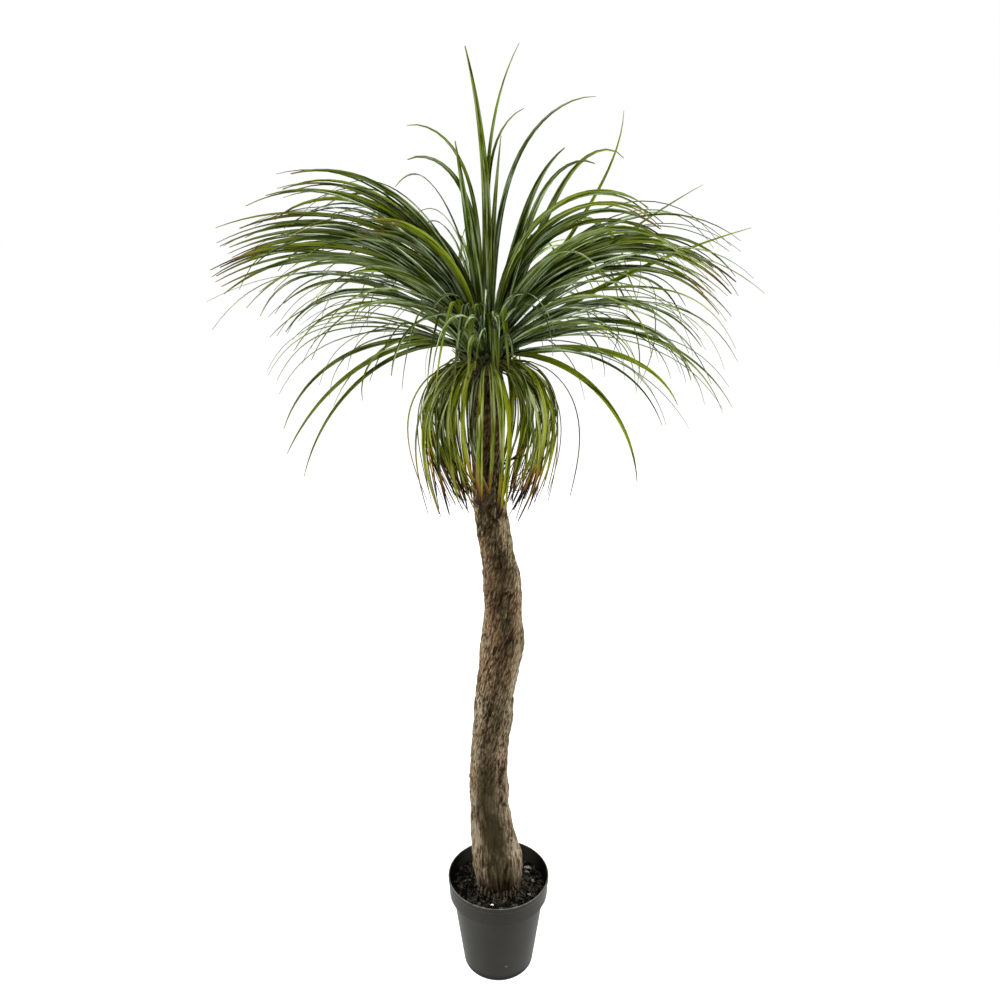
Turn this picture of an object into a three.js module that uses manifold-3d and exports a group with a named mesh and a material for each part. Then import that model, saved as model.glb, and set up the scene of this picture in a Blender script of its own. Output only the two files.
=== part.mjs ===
// A potted ponytail palm: a nursery pot, its potting mix, the bare stem, the whorl of
// old leaves that hangs round the top of the stem, and the crown of strap leaves.
// Millimetres, +Z up. The origin is the middle of the pot's underside, and the plant
// is looked at from -Y. Angles are in degrees: azimuth 0 is +X, rise 90 is straight up.

import * as THREE from "three";
import { mergeVertices } from "three/addons/utils/BufferGeometryUtils.js";
import Module from "manifold-3d";

const { sin, cos, atan2, max, min, exp, PI } = Math;
const fullTurn = 2 * PI;
const radians = PI / 180;
const touchGap = 0.3;

const pot = {
  height: 173.4,
  rimRadius: 85.5,
  lipHeight: 9,
  lipStep: 0.8,
  collarHeight: 34.6,
  collarFootRadius: 83.4,
  shoulderRadius: 77.2,
  shoulderDrop: 3,
  footRadius: 59.6,
  footRounding: 4,
  wall: 1.5,
  edge: 0.6,
  sides: 40,
  drainHoles: 6,
  drainHoleRadius: 5,
  drainCircleRadius: 42,
};

const mix = {
  edgeHeight: 143,
  moundHeight: 154,
  edgeRounding: 2,
  holeDepth: 46,
};

// Low crumbs on the mix: waves that never quite repeat.
const crumbWaves = [
  { depth: 0.7, length: 5.1, azimuth: 20 },
  { depth: 0.45, length: 4.3, azimuth: 105 },
  { depth: 0.3, length: 3.1, azimuth: 62 },
];

const stem = {
  footRadius: 37,
  topHeight: 1030,
  around: 26,
  rings: 44,
  plainEnd: 12,
  furrowDepth: 3,
  furrowAzimuth: 270,
  furrowWidth: 16,
  furrowMiddle: 600,
  furrowHalfLength: 260,
  scarHeight: 832,
  scarAzimuth: 286,
  scarDepth: 4,
  scarHalfHeight: 15,
  depthSway: 5,
};

// Fibrous bark: how deep each wave of ridges is, how many go round the stem, over what
// height they climb round it, and how far and how often they wander.
const barkWaves = [
  { depth: 1.3, ridges: 8, climb: 90, wander: 0.9, wanderHeight: 41 },
  { depth: 1, ridges: 4, climb: 400, wander: -1.6, wanderHeight: 67 },
  { depth: 0.8, ridges: 2, climb: 19, wander: 0.4, wanderHeight: 53 },
];

// The stem's course and girth: height, sideways place of its middle, radius.
const stemStations = [
  [mix.moundHeight + 0.5, 0, stem.footRadius],
  [170, -1, 39.4],
  [190, -3, 41],
  [222, -5, 41],
  [251, -8.9, 37],
  [281, -12.2, 34.3],
  [310, -14.6, 32.6],
  [340, -15.5, 31.2],
  [368, -16.9, 30.4],
  [425, -13.5, 30],
  [480, -7.7, 29.2],
  [535, -3.6, 29.3],
  [588, 3.4, 30.6],
  [640, 7.6, 29.5],
  [690, 6.4, 28.6],
  [739, 2.6, 26.6],
  [788, -5.7, 25.2],
  [835, -12.3, 23],
  [950, -16, 20.5],
  [stem.topHeight, -16, 20],
];

// The crown's own place: the leaves of both bunches are set out from it.
const crown = new THREE.Vector3(-16, 0, 1058);

const whorlCore = {
  radius: 21,
  bottom: stem.topHeight + touchGap,
  top: 1045,
};
const crownCore = {
  radius: 22,
  bottom: whorlCore.top + touchGap,
  shoulder: 1060,
  top: 1076,
};
const coreSides = 20;

const goldenAngle = 137.508;
const frontAzimuth = 270;

// The crown's scattered leaves, from the innermost (first number) to the outermost.
// Some hang lower, and the few that are kept in front are short and folded over.
const crownLeaves = {
  count: 144,
  seed: 7,
  ringsAt: [0, 4, 9, 15, 20],
  rise: [63, 23],
  riseSpread: 7,
  rightRiseFall: 4,
  tipAngle: [-22, -44],
  tipSpread: 14,
  rightTipFall: 6,
  droopPower: [1.1, 1.75],
  length: [412, 332],
  lengthSpread: [0.8, 1.04],
  frontShortening: 0.35,
  sideBend: 22,
  turn: 50,
  twist: 50,
  width: [9, 14],
  hanging: { oneIn: 9, riseFall: 8, tipFall: 38, length: 0.85 },
  folded: { halfAngle: 48, keepsOneIn: 3, lift: 12, tipFall: 70, length: 0.42 },
};

// The hanging whorl's leaves, from the topmost to the lowest: each turns down early and
// then comes in a little, the inner ones sooner and more than the outer ones.
const whorlLeaves = {
  count: 62,
  seed: 11,
  ringsAt: [0, 2, 5, 9, 15],
  rise: [32, -2],
  riseSpread: 6,
  pastVertical: 100,
  innerPastVertical: 14,
  pastSpread: 8,
  settle: 2,
  innerSettle: 0.6,
  length: [232, 272],
  innerShortening: 0.15,
  sideBend: 25,
  turn: 35,
  twist: 60,
  width: [6, 10],
  rootRadius: 17,
  rootDrop: [15, 22],
  frontGapHalfAngle: 30,
  frontGapKeepsOneIn: 4,
};

// The leaves that give the crown its outline, placed one by one.
// Azimuth, rise, droop, power of the droop, length, width.
const outlineLeaves = [
  [188, 93, 18, 1.8, 378, 15],
  [-8, 92, 32, 3, 386, 9],
  [10, 87, 87, 3, 386, 9],
  [170, 88, 98, 4.2, 335, 10],
  [188, 84, 4, 1.5, 268, 16],
  [172, 87, 112, 4.2, 300, 15],
  [-6, 91, 70, 6, 320, 10],
  [-10, 89, 6, 1.5, 272, 12],
  [12, 76, 40, 4.5, 284, 15],
  [-14, 73, 100, 6, 300, 15],
  [9, 67, 120, 7, 342, 12],
  [14, 54, -36, 5, 366, 7],
  [-8, 47, 18, 1.2, 350, 6],
  [6, 35, 20, 1, 395, 8],
  [168, 72, 108, 1.5, 405, 12],
  [190, 64, 92, 1.4, 385, 10],
  [176, 52, 72, 1.2, 380, 9],
  [184, 24, 94, 1.1, 330, 9],
  [192, 42, 105, 0.55, 335, 10],
  [186, 38, 112, 0.55, 345, 8],
  [-12, 15, 100, 0.8, 300, 9],
  [8, 24, 92, 1.3, 396, 7],
  [-16, 28, 88, 1.3, 368, 6],
  [-4, 10, 75, 2, 282, 11],
  [200, 30, 130, 1.6, 222, 8],
];
const outlineTurn = 62;

// How every blade narrows: it leaves its root at part of its width, is widest early,
// and ends in a thread.
const bladeShape = {
  steps: 24,
  rootShare: 0.4,
  widestAt: 0.28,
  taperFrom: 0.2,
  taperPower: 1.25,
  threadShare: 0.06,
  keelDepth: 1.3,
  keelShare: 0.08,
  tipKeelDepth: 0.8,
};

const mixed = (pair, share) => pair[0] + (pair[1] - pair[0]) * share;
const clamped = (value) => min(1, max(0, value));
const bump = (distance, width) => exp(-((distance / width) ** 2));

// A source of repeatable numbers between two limits.
function seededDraws(seed) {
  let state = seed;
  return (low, high) => {
    state = (Math.imul(state, 1664525) + 1013904223) >>> 0;
    return low + ((high - low) * state) / 4294967296;
  };
}

// A closed skin through rings of equally many points, with a point at each end.
function closedSkin(rings, firstPole, lastPole) {
  const size = rings[0].length;
  const points = [...rings.flat(), firstPole, lastPole];
  const first = points.length - 2;
  const last = points.length - 1;
  const corner = (ring, place) => ring * size + (place % size);
  const faces = [];
  for (let place = 0; place < size; place++) {
    faces.push(first, corner(0, place + 1), corner(0, place));
    const end = rings.length - 1;
    faces.push(last, corner(end, place), corner(end, place + 1));
    for (let ring = 0; ring < end; ring++) {
      const near = corner(ring, place);
      const beside = corner(ring, place + 1);
      const far = corner(ring + 1, place);
      const across = corner(ring + 1, place + 1);
      faces.push(near, beside, across, near, across, far);
    }
  }
  return new THREE.BufferGeometry().setFromPoints(points).setIndex(faces);
}

function lathed(profile, sides) {
  const outline = profile.map(([radius, height]) => new THREE.Vector2(radius, height));
  return new THREE.LatheGeometry(outline, sides).rotateX(PI / 2);
}

const wasm = await Module();
wasm.setup();

function solid(geometry) {
  const bare = geometry.clone();
  bare.deleteAttribute("normal");
  bare.deleteAttribute("uv");
  const merged = mergeVertices(bare, 1e-3);
  return new wasm.Manifold(
    new wasm.Mesh({
      numProp: 3,
      vertProperties: new Float32Array(merged.attributes.position.array),
      triVerts: new Uint32Array(merged.index.array),
    }),
  );
}

function geometryOf(body) {
  const mesh = body.getMesh();
  const geometry = new THREE.BufferGeometry();
  geometry.setAttribute("position", new THREE.BufferAttribute(mesh.vertProperties, 3));
  geometry.setIndex(new THREE.BufferAttribute(mesh.triVerts, 1));
  geometry.computeVertexNormals();
  return geometry;
}

// Joins solids in pairs, then the pairs in pairs, so that no join is a large one.
function joined(solids) {
  let rest = solids;
  while (rest.length > 1) {
    const pairs = [];
    for (let i = 0; i < rest.length; i += 2) {
      pairs.push(i + 1 < rest.length ? rest[i].add(rest[i + 1]) : rest[i]);
    }
    rest = pairs;
  }
  return rest[0];
}

// The outer skin alone: the small hollows that crossing blades seal are filled by it.
function outerSkin(body) {
  return body.decompose().reduce((big, other) => (other.volume() > big.volume() ? other : big));
}

function potGeometry() {
  const { height, rimRadius, wall, lipStep, edge } = pot;
  const collarFoot = height - pot.collarHeight;
  const shoulder = collarFoot - pot.shoulderDrop;
  const lipFoot = height - pot.lipHeight;
  const profile = [
    [0, 0],
    [pot.footRadius - pot.footRounding, 0],
    [pot.footRadius - pot.footRounding * 0.3, pot.footRounding * 0.3],
    [pot.footRadius, pot.footRounding],
    [pot.shoulderRadius, shoulder],
    [pot.collarFootRadius, collarFoot],
    [pot.collarFootRadius, collarFoot + edge],
    [rimRadius - lipStep - 0.2, lipFoot],
    [rimRadius - 0.2, lipFoot + edge],
    [rimRadius, height - edge],
    [rimRadius - edge, height],
    [rimRadius - lipStep - wall + edge / 2, height],
    [rimRadius - lipStep - wall, height - edge],
    [pot.collarFootRadius - wall, collarFoot + wall],
    [pot.shoulderRadius - wall, shoulder + wall],
    [pot.footRadius - wall, pot.footRounding],
    [pot.footRadius - pot.footRounding, wall],
    [0, wall],
  ];
  const shell = solid(lathed(profile, pot.sides));
  const hole = new THREE.CylinderGeometry(
    pot.drainHoleRadius,
    pot.drainHoleRadius,
    4 * wall,
    10,
  ).rotateX(PI / 2);
  const holes = Array.from({ length: pot.drainHoles }, (_, i) => {
    const azimuth = (i / pot.drainHoles) * fullTurn;
    const x = pot.drainCircleRadius * cos(azimuth);
    const y = pot.drainCircleRadius * sin(azimuth);
    return solid(hole.clone().translate(x, y, wall));
  });
  return geometryOf(holes.reduce((body, cut) => body.subtract(cut), shell));
}

function crumbs(x, y) {
  const heights = crumbWaves.map(({ depth, length, azimuth }) => {
    const along = x * cos(azimuth * radians) + y * sin(azimuth * radians);
    return depth * sin(along / length);
  });
  return heights.reduce((sum, height) => sum + height, 0);
}

function mixGeometry() {
  const clear = pot.wall + 1.5 * touchGap;
  const collarFoot = pot.height - pot.collarHeight;
  const ledge = collarFoot - pot.shoulderDrop + pot.wall + touchGap;
  const holeRadius = stem.footRadius + touchGap;
  const holeFloor = mix.moundHeight - mix.holeDepth;
  const edgeRadius = pot.collarFootRadius - clear;
  const ring = (radius, height, relief = 0) =>
    Array.from({ length: pot.sides }, (_, i) => {
      const x = radius * cos((i / pot.sides) * fullTurn);
      const y = radius * sin((i / pot.sides) * fullTurn);
      return new THREE.Vector3(x, y, height + relief * crumbs(x, y));
    });
  const surface = [0.12, 0.3, 0.5, 0.7, 0.9].map((share) => {
    const radius = mixed([edgeRadius, holeRadius], share);
    const rise = 0.5 - 0.5 * cos(PI * share);
    return ring(radius, mixed([mix.edgeHeight, mix.moundHeight - 1.6], rise), 1);
  });
  const rings = [
    ring(pot.footRadius - pot.footRounding - clear, clear),
    ring(pot.footRadius - clear - touchGap, pot.footRounding + touchGap),
    ring(pot.shoulderRadius - clear, ledge),
    ring(edgeRadius, collarFoot + clear),
    ring(edgeRadius - mix.edgeRounding / 2, mix.edgeHeight),
    ...surface,
    ring(holeRadius, mix.moundHeight - 1),
    ring(holeRadius, holeFloor),
  ];
  const underside = new THREE.Vector3(0, 0, clear);
  return closedSkin(rings, underside, new THREE.Vector3(0, 0, holeFloor));
}

// How far the bark stands out from the stem's girth, at an angle in radians and a height.
function barkRelief(angle, height) {
  const waves = barkWaves.map(({ depth, ridges, climb, wander, wanderHeight }) => {
    const course = height / climb + wander * sin(height / wanderHeight);
    return depth * cos(ridges * angle + course);
  });
  const beside = (azimuth) => {
    const turn = angle - azimuth * radians;
    return bump(atan2(sin(turn), cos(turn)) / radians, stem.furrowWidth);
  };
  const furrow = beside(stem.furrowAzimuth) * bump(height - stem.furrowMiddle, stem.furrowHalfLength);
  const scar = beside(stem.scarAzimuth) * bump(height - stem.scarHeight, stem.scarHalfHeight);
  const ridges = waves.reduce((sum, wave) => sum + wave, 0);
  return ridges - stem.furrowDepth * furrow - stem.scarDepth * scar;
}

function stemGeometry() {
  const course = new THREE.CatmullRomCurve3(
    stemStations.map(([height, across, radius]) => new THREE.Vector3(across, radius, height)),
  );
  const foot = stemStations[0][0];
  const ring = (x, radius, height, relief) =>
    Array.from({ length: stem.around }, (_, i) => {
      const azimuth = (i / stem.around) * fullTurn;
      const sway = sin(clamped((height - foot) / (stem.topHeight - foot)) * fullTurn);
      const reach = radius + relief * barkRelief(azimuth, height);
      const y = stem.depthSway * sway + reach * sin(azimuth);
      return new THREE.Vector3(x + reach * cos(azimuth), y, height);
    });
  const bottom = mix.moundHeight - mix.holeDepth + touchGap;
  const bark = Array.from({ length: stem.rings }, (_, i) => {
    const { x, y: radius, z: height } = course.getPoint(i / (stem.rings - 1));
    const relief = clamped(min(height - foot, stem.topHeight - height) / stem.plainEnd);
    return ring(x, radius, height, relief);
  });
  const rings = [ring(0, stem.footRadius, bottom, 0), ...bark];
  const top = new THREE.Vector3(stemStations.at(-1)[1], 0, stem.topHeight);
  return closedSkin(rings, new THREE.Vector3(0, 0, bottom), top);
}

// How wide a blade is at a share of its length, as a share of its widest.
function bladeWidth(share) {
  const { rootShare, widestAt, taperFrom, taperPower, threadShare } = bladeShape;
  const opening = clamped(share / widestAt);
  const grown = mixed([rootShare, 1], opening * (2 - opening));
  const gone = clamped((share - taperFrom) / (1 - taperFrom)) ** taperPower;
  return grown * mixed([1, threadShare], gone);
}

// One blade: it sets off at its rise, bows down by its droop, and turns on its own length.
// Its power delays the bow, and its settle brings the bow forward.
function bladeGeometry(leaf, ringsAt) {
  const { steps } = bladeShape;
  const facing = (share) => {
    const bowed = 1 - (1 - share ** leaf.power) ** leaf.settle;
    const angle = (leaf.rise - leaf.droop * bowed) * radians;
    const azimuth = (leaf.azimuth + leaf.bend * share * share) * radians;
    return new THREE.Vector3(
      cos(angle) * cos(azimuth),
      cos(angle) * sin(azimuth),
      sin(angle),
    );
  };
  const spot = leaf.root.clone();
  const rings = [];
  for (let step = 0; step < steps; step++) {
    const share = step / steps;
    const along = facing(share);
    if (ringsAt.includes(step)) {
      const azimuth = (leaf.azimuth + leaf.bend * share * share) * radians;
      const level = new THREE.Vector3(-sin(azimuth), cos(azimuth), 0);
      const turn = (leaf.turn + leaf.twist * share) * radians;
      const across = level.applyAxisAngle(along, turn);
      const under = new THREE.Vector3().crossVectors(across, along);
      const width = leaf.width * bladeWidth(share);
      const keel = mixed([bladeShape.keelDepth, bladeShape.tipKeelDepth], share);
      rings.push([
        spot.clone().addScaledVector(across, width / 2),
        spot.clone().addScaledVector(across, -width / 2),
        spot.clone().addScaledVector(under, keel + bladeShape.keelShare * width),
      ]);
    }
    const next = facing((step + 1) / steps);
    spot.addScaledVector(along.add(next), leaf.length / steps / 2);
  }
  return closedSkin(rings, leaf.root, spot);
}

function rootAt(azimuth, radius, lift) {
  const offset = new THREE.Vector3(radius, 0, lift);
  offset.applyAxisAngle(new THREE.Vector3(0, 0, 1), azimuth * radians);
  return offset.add(crown);
}

// 1 straight at the viewer, 0 at the flanks.
const frontness = (azimuth) => cos((azimuth - frontAzimuth) * radians);

function crownBlades() {
  const rule = crownLeaves;
  const { hanging, folded } = rule;
  const draw = seededDraws(rule.seed);
  const inFront = (azimuth) => frontness(azimuth) > cos(folded.halfAngle * radians);
  const scattered = Array.from({ length: rule.count }, (_, i) => {
    const out = (i + 0.5) / rule.count;
    const azimuth = i * goldenAngle + draw(-9, 9);
    const right = cos(azimuth * radians);
    const hangs = i % hanging.oneIn === hanging.oneIn - 1 ? 1 : 0;
    const folds = inFront(azimuth) ? 1 : 0;
    const straightRise = mixed(rule.rise, out) + draw(-rule.riseSpread, rule.riseSpread);
    const rise =
      straightRise - rule.rightRiseFall * right - hanging.riseFall * hangs + folded.lift * folds;
    const straightTip = mixed(rule.tipAngle, out) + draw(-rule.tipSpread, rule.tipSpread);
    const tip =
      straightTip - rule.rightTipFall * right - hanging.tipFall * hangs - folded.tipFall * folds;
    const power = draw(...rule.droopPower);
    const full = mixed(rule.length, out ** 1.5) * draw(...rule.lengthSpread);
    const hung = full * mixed([1, hanging.length], hangs);
    const shortening = 1 - rule.frontShortening * max(0, frontness(azimuth)) ** 2;
    return {
      azimuth,
      rise,
      droop: rise - tip,
      power,
      settle: 1,
      length: hung * (folds ? folded.length : shortening),
      bend: draw(-rule.sideBend, rule.sideBend),
      turn: draw(-rule.turn, rule.turn),
      twist: draw(-rule.twist, rule.twist),
      width: draw(...rule.width),
      root: rootAt(azimuth, 6 + 13 * out ** 0.5, 16 * (1 - out) - 4),
    };
  }).filter((leaf, i) => !inFront(leaf.azimuth) || i % folded.keepsOneIn === 0);
  const placed = outlineLeaves.map(([azimuth, rise, droop, power, length, width]) => ({
    azimuth,
    rise,
    droop,
    power,
    settle: 1,
    length,
    bend: 0,
    turn: outlineTurn,
    twist: 0,
    width,
    root: rootAt(azimuth, 4 + 14 * (1 - rise / 90), (18 * rise) / 90 - 4),
  }));
  return [...scattered, ...placed];
}

function whorlBlades() {
  const rule = whorlLeaves;
  const draw = seededDraws(rule.seed);
  const leaves = Array.from({ length: rule.count }, (_, i) => {
    const down = (i + 0.5) / rule.count;
    const azimuth = i * goldenAngle + draw(-8, 8);
    const rise = mixed(rule.rise, down) + draw(-rule.riseSpread, rule.riseSpread);
    const inness = draw(0, 1);
    const past = rule.pastVertical + rule.innerPastVertical * inness;
    return {
      azimuth,
      rise,
      power: 1,
      settle: rule.settle + rule.innerSettle * inness,
      length: draw(...rule.length) * (1 - rule.innerShortening * inness),
      droop: rise + past + draw(-rule.pastSpread, rule.pastSpread),
      bend: draw(-rule.sideBend, rule.sideBend),
      turn: draw(-rule.turn, rule.turn),
      twist: draw(-rule.twist, rule.twist),
      width: draw(...rule.width),
      root: rootAt(azimuth, rule.rootRadius, -mixed(rule.rootDrop, down)),
    };
  });
  const gap = cos(rule.frontGapHalfAngle * radians);
  return leaves.filter((leaf, i) => {
    return frontness(leaf.azimuth) < gap || i % rule.frontGapKeepsOneIn === 0;
  });
}

function bunchGeometry(coreProfile, leaves, ringsAt) {
  const core = solid(lathed(coreProfile, coreSides).translate(crown.x, crown.y, 0));
  const blades = leaves.map((leaf) => solid(bladeGeometry(leaf, ringsAt)));
  return geometryOf(outerSkin(joined([core, ...blades])));
}

function crownGeometry() {
  const { radius, bottom, shoulder, top } = crownCore;
  const profile = [
    [0, bottom],
    [radius - 1, bottom],
    [radius, bottom + 4],
    [radius, shoulder],
    [radius * 0.75, mixed([shoulder, top], 0.66)],
    [radius * 0.35, mixed([shoulder, top], 0.95)],
    [0, top],
  ];
  return bunchGeometry(profile, crownBlades(), crownLeaves.ringsAt);
}

function whorlGeometry() {
  const { radius, bottom, top } = whorlCore;
  const profile = [
    [0, bottom],
    [radius - 1, bottom],
    [radius, bottom + 2],
    [radius, top - 2],
    [radius - 1, top],
    [0, top],
  ];
  return bunchGeometry(profile, whorlBlades(), whorlLeaves.ringsAt);
}

const looks = {
  plastic: { color: 0x3c3c38, roughness: 0.6, metalness: 0 },
  mix: { color: 0x14110f, roughness: 1, metalness: 0 },
  bark: { color: 0x6b5742, roughness: 0.95, metalness: 0 },
  oldLeaf: { color: 0x5d7420, roughness: 0.55, metalness: 0 },
  leaf: { color: 0x3d5a2c, roughness: 0.5, metalness: 0 },
};

function piece(name, geometry, look) {
  const mesh = new THREE.Mesh(geometry, new THREE.MeshStandardMaterial(look));
  mesh.name = name;
  return mesh;
}

const holder = new THREE.Group().add(
  piece("pot", potGeometry(), looks.plastic),
  piece("potting_mix", mixGeometry(), looks.mix),
);
const plant = new THREE.Group().add(
  piece("trunk", stemGeometry(), looks.bark),
  piece("hanging_leaves", whorlGeometry(), looks.oldLeaf),
  piece("crown_leaves", crownGeometry(), looks.leaf),
);

export default new THREE.Group().add(holder, plant);
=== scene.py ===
"""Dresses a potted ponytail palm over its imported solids.

Lengths are millimetres and azimuths are degrees (0 is +X, 270 faces the viewer) until
add_piece puts a shape into a mesh in metres. Each shape is worked out as whole arrays.
"""

from types import SimpleNamespace

import bpy
import numpy as np
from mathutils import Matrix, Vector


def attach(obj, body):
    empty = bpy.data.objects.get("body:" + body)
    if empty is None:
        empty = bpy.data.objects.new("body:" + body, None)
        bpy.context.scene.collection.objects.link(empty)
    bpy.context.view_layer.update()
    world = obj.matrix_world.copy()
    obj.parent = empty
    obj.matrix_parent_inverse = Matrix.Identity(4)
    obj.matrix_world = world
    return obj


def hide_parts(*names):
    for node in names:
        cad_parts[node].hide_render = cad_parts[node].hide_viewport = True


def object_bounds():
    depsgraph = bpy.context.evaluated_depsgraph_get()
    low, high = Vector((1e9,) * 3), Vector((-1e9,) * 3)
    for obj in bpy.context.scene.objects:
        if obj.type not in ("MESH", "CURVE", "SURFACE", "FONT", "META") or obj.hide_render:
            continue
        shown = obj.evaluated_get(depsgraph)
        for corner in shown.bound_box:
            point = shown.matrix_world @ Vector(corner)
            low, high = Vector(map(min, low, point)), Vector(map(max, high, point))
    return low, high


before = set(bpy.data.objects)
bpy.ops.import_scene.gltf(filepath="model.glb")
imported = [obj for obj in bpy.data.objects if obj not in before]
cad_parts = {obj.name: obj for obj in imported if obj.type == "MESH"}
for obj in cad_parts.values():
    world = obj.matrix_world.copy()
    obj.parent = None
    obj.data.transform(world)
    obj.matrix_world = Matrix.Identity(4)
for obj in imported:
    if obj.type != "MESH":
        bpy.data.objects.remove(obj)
cad_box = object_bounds()

MM = 0.001
FULL_TURN = 2 * np.pi
FRONT = 270
NEAR_AXIS = 1

# Lattice noise: rows before it repeats, and the span of the kind that lies on a plane
NOISE_ROWS = 512
PLANE_SPAN = 256

# Pot
POT_HEIGHT = 173.4
RIM_RADIUS = 85.5
LIP_HEIGHT = 9
LIP_STEP = 0.8
COLLAR_HEIGHT = 34.6
COLLAR_FOOT_RADIUS = 83.4
SHOULDER_RADIUS = 77.2
SHOULDER_DROP = 3
COLLAR_FOOT_HEIGHT = POT_HEIGHT - COLLAR_HEIGHT
SHOULDER_HEIGHT = COLLAR_FOOT_HEIGHT - SHOULDER_DROP
POT_FOOT_RADIUS = 59.6
POT_FOOT_ROUNDING = 1.5
POT_INNER_ROUNDING = 4
POT_WALL = 1.5
POT_EDGE = 0.6
RIM_TAPER = 0.2
POT_CORNER_BOW = 1.2
POT_LONGEST_STEP = 3.0
POT_COLUMNS = 240
DRAIN_HOLES = 6
DRAIN_HOLE_RADIUS = 5
DRAIN_CIRCLE_RADIUS = 42
DRAIN_CUT = (-2.0, 4.0)
DRAIN_COLUMNS = 32
# Height of the painted shade on the pot's foot
POT_FOOT_SHADE_HEIGHT = 12
# Depth of the painted highlight along the rim's top edge
POT_RIM_HIGHLIGHT_DEPTH = 0.9
# Place of the painted highlight on the gate mark: x and height
GATE_HIGHLIGHT_PLACE = (13.5, 34)
# Small raised marks that the mould leaves on the pot's front: azimuth, height, half sizes, relief
MOULD_MARKS = [(264, 121, 5.5, 1.0, 0.9)]

# Potting mix
TOUCH_GAP = 0.3
STEM_FOOT_RADIUS = 37
MIX_CLEAR = POT_WALL + 1.5 * TOUCH_GAP
MIX_EDGE_RADIUS = COLLAR_FOOT_RADIUS - MIX_CLEAR
MIX_HOLE_RADIUS = STEM_FOOT_RADIUS + TOUCH_GAP
MIX_EDGE_HEIGHT = 143
MIX_MOUND_HEIGHT = 154
MIX_MOUND_SINK = 1.6
MIX_HOLE_FLOOR = MIX_MOUND_HEIGHT - 46
MIX_TOP_RINGS = 46
MIX_COLUMNS = 230
# Lumps in its surface: how high, how wide, and the noise's seed; their heights together halved
MIX_LUMPS = [(3.4, 11, 21), (2.8, 4.5, 22), (1.2, 2, 23)]
MIX_LUMPS_MEAN = 3.7
CRUMB_CIRCLES = (STEM_FOOT_RADIUS + 3, 79)
# Crumbs strewn on it: name, how many, sizes, flatness
STREWN = [
    ("peat_crumbs", 700, (1.0, 2.4), 0.8),
    ("peat_lumps", 330, (2.4, 6.5), 0.9),
    ("peat_chips", 90, (2.2, 4.6), 0.4),
]
# Curled shreds on the mix: x, y, azimuth, rise, droop, length, width
CURLED_SHREDS = np.array([
    [44, 40, 350, 50, 110, 17, 4.5],
    [47, 33, 310, 35, 80, 11, 4],
    [57, 8, 20, 20, 120, 11, 5],
    [50, -22, 300, 25, 90, 9, 4],
    [-52, 8, 200, 30, 120, 10, 4],
])
WHITE_GRAIN_PLACE = (-10.5, -50)
WHITE_GRAIN_SIZE = 2.4
# A crumb's points are pushed out and in by shares, and the crumb is tilted
CRUMB_PUSH = (0.7, 1.25)
CRUMB_TILT = 0.5
SPECK_LIFT = 2.2

# Stem: height, sideways place of its middle, radius
STEM_TOP = 1030
STEM_STATIONS = np.array([
    [MIX_MOUND_HEIGHT + 0.5, 0, STEM_FOOT_RADIUS],
    [170, -1, 39.4],
    [190, -3, 41],
    [222, -5, 41],
    [251, -8.9, 37],
    [281, -12.2, 34.3],
    [310, -14.6, 32.6],
    [340, -15.5, 31.2],
    [368, -16.9, 30.4],
    [425, -13.5, 30],
    [480, -7.7, 29.2],
    [535, -3.6, 29.3],
    [588, 3.4, 30.6],
    [640, 7.6, 29.5],
    [690, 6.4, 28.6],
    [739, 2.6, 26.6],
    [788, -5.7, 25.2],
    [835, -12.3, 23],
    [950, -16, 20.5],
    [STEM_TOP, -16, 20],
])
STEM_SWAY = 5
STEM_PLAIN_END = 12
STEM_COLUMNS = 220
STEM_ROWS = 436

# Bark waves: depth, ridges round the stem, climb, wander, height of one wander
BARK_WAVES = [
    (1.3, 8, 90, 0.9, 41),
    (1.0, 4, 400, -1.6, 67),
    (0.8, 2, 19, 0.4, 53),
]
FURROW_DEPTH = 3
FURROW_WIDTH = 16
FURROW_MIDDLE = 600
FURROW_HALF_LENGTH = 260
SCAR_AZIMUTH = 286
SCAR_HEIGHT = 832
SCAR_DEPTH = 4
SCAR_HALF_HEIGHT = 15
KNOT_HALF_WIDTH = 9
KNOT_REACH = (23, 12)
KNOT_GROOVE = 2.4
KNOT_GROOVE_WIDTH = 0.25
# Painted shade in the knot's hollow: how dark at its middle, and its reach
KNOT_SHADE = (0.5, 0.7)
# Cracks between the bark's plates: how many round the stem, height of one, depth, width,
# their share at the foot and higher up, and the noise's seed
BARK_CRACKS = [
    (18, 64, 2.4, 0.16, 1.0, 0.3, 31),
    (26, 38, 1.9, 0.20, 0.4, 1.0, 32),
    (44, 21, 1.4, 0.26, 0.5, 1.0, 33),
    (84, 12, 0.6, 0.40, 0.8, 0.8, 34),
]
CRACKED_FOOT = (220, 340)
CRACK_WANDER = 0.05
CRACK_WANDER_NOISE = (6, 55, 30)
# How far the cracks lean above the foot, in turns round the stem for each millimetre
CRACK_LEAN = 0.0013
# Bosses and hollows between the cracks: how many round the stem, height of one, reach, seed
BARK_BOSSES = [(9, 26, 2.2, 35), (20, 9, 1.5, 36)]
# Grooves at the foot: how many round the stem, height of one, and the noise's seed
FOOT_GROOVES = (17, 60, 37)
FOOT_GROOVE_DEPTH = 4.5
FOOT_GROOVE_REACH = 26
# Patches: how many round the stem and the height of one, then for the cracks and for the painted
# shade band the noise's seed, its gain, where it starts and the least that it comes to
PATCH_SIZE = (9, 30)
CRACK_PATCHES = (39, 2.6, 0.22, 0.25)
SHADE_BAND_PATCHES = (38, 2.2, 0.15, 0.75)
# The painted shade band up the front, and where it leaves the front low down
SHADE_BAND_STRENGTH = 1.4
SHADE_BAND_WIDTH = 30
SHADE_BAND_SWAY = 9
SHADE_BAND_SWAY_HEIGHT = 75
SHADE_BAND_LOW_SHIFT = 11
SHADE_BAND_LOW_HEIGHT = 290
SHADE_BAND_LOW_REACH = 90
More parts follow.
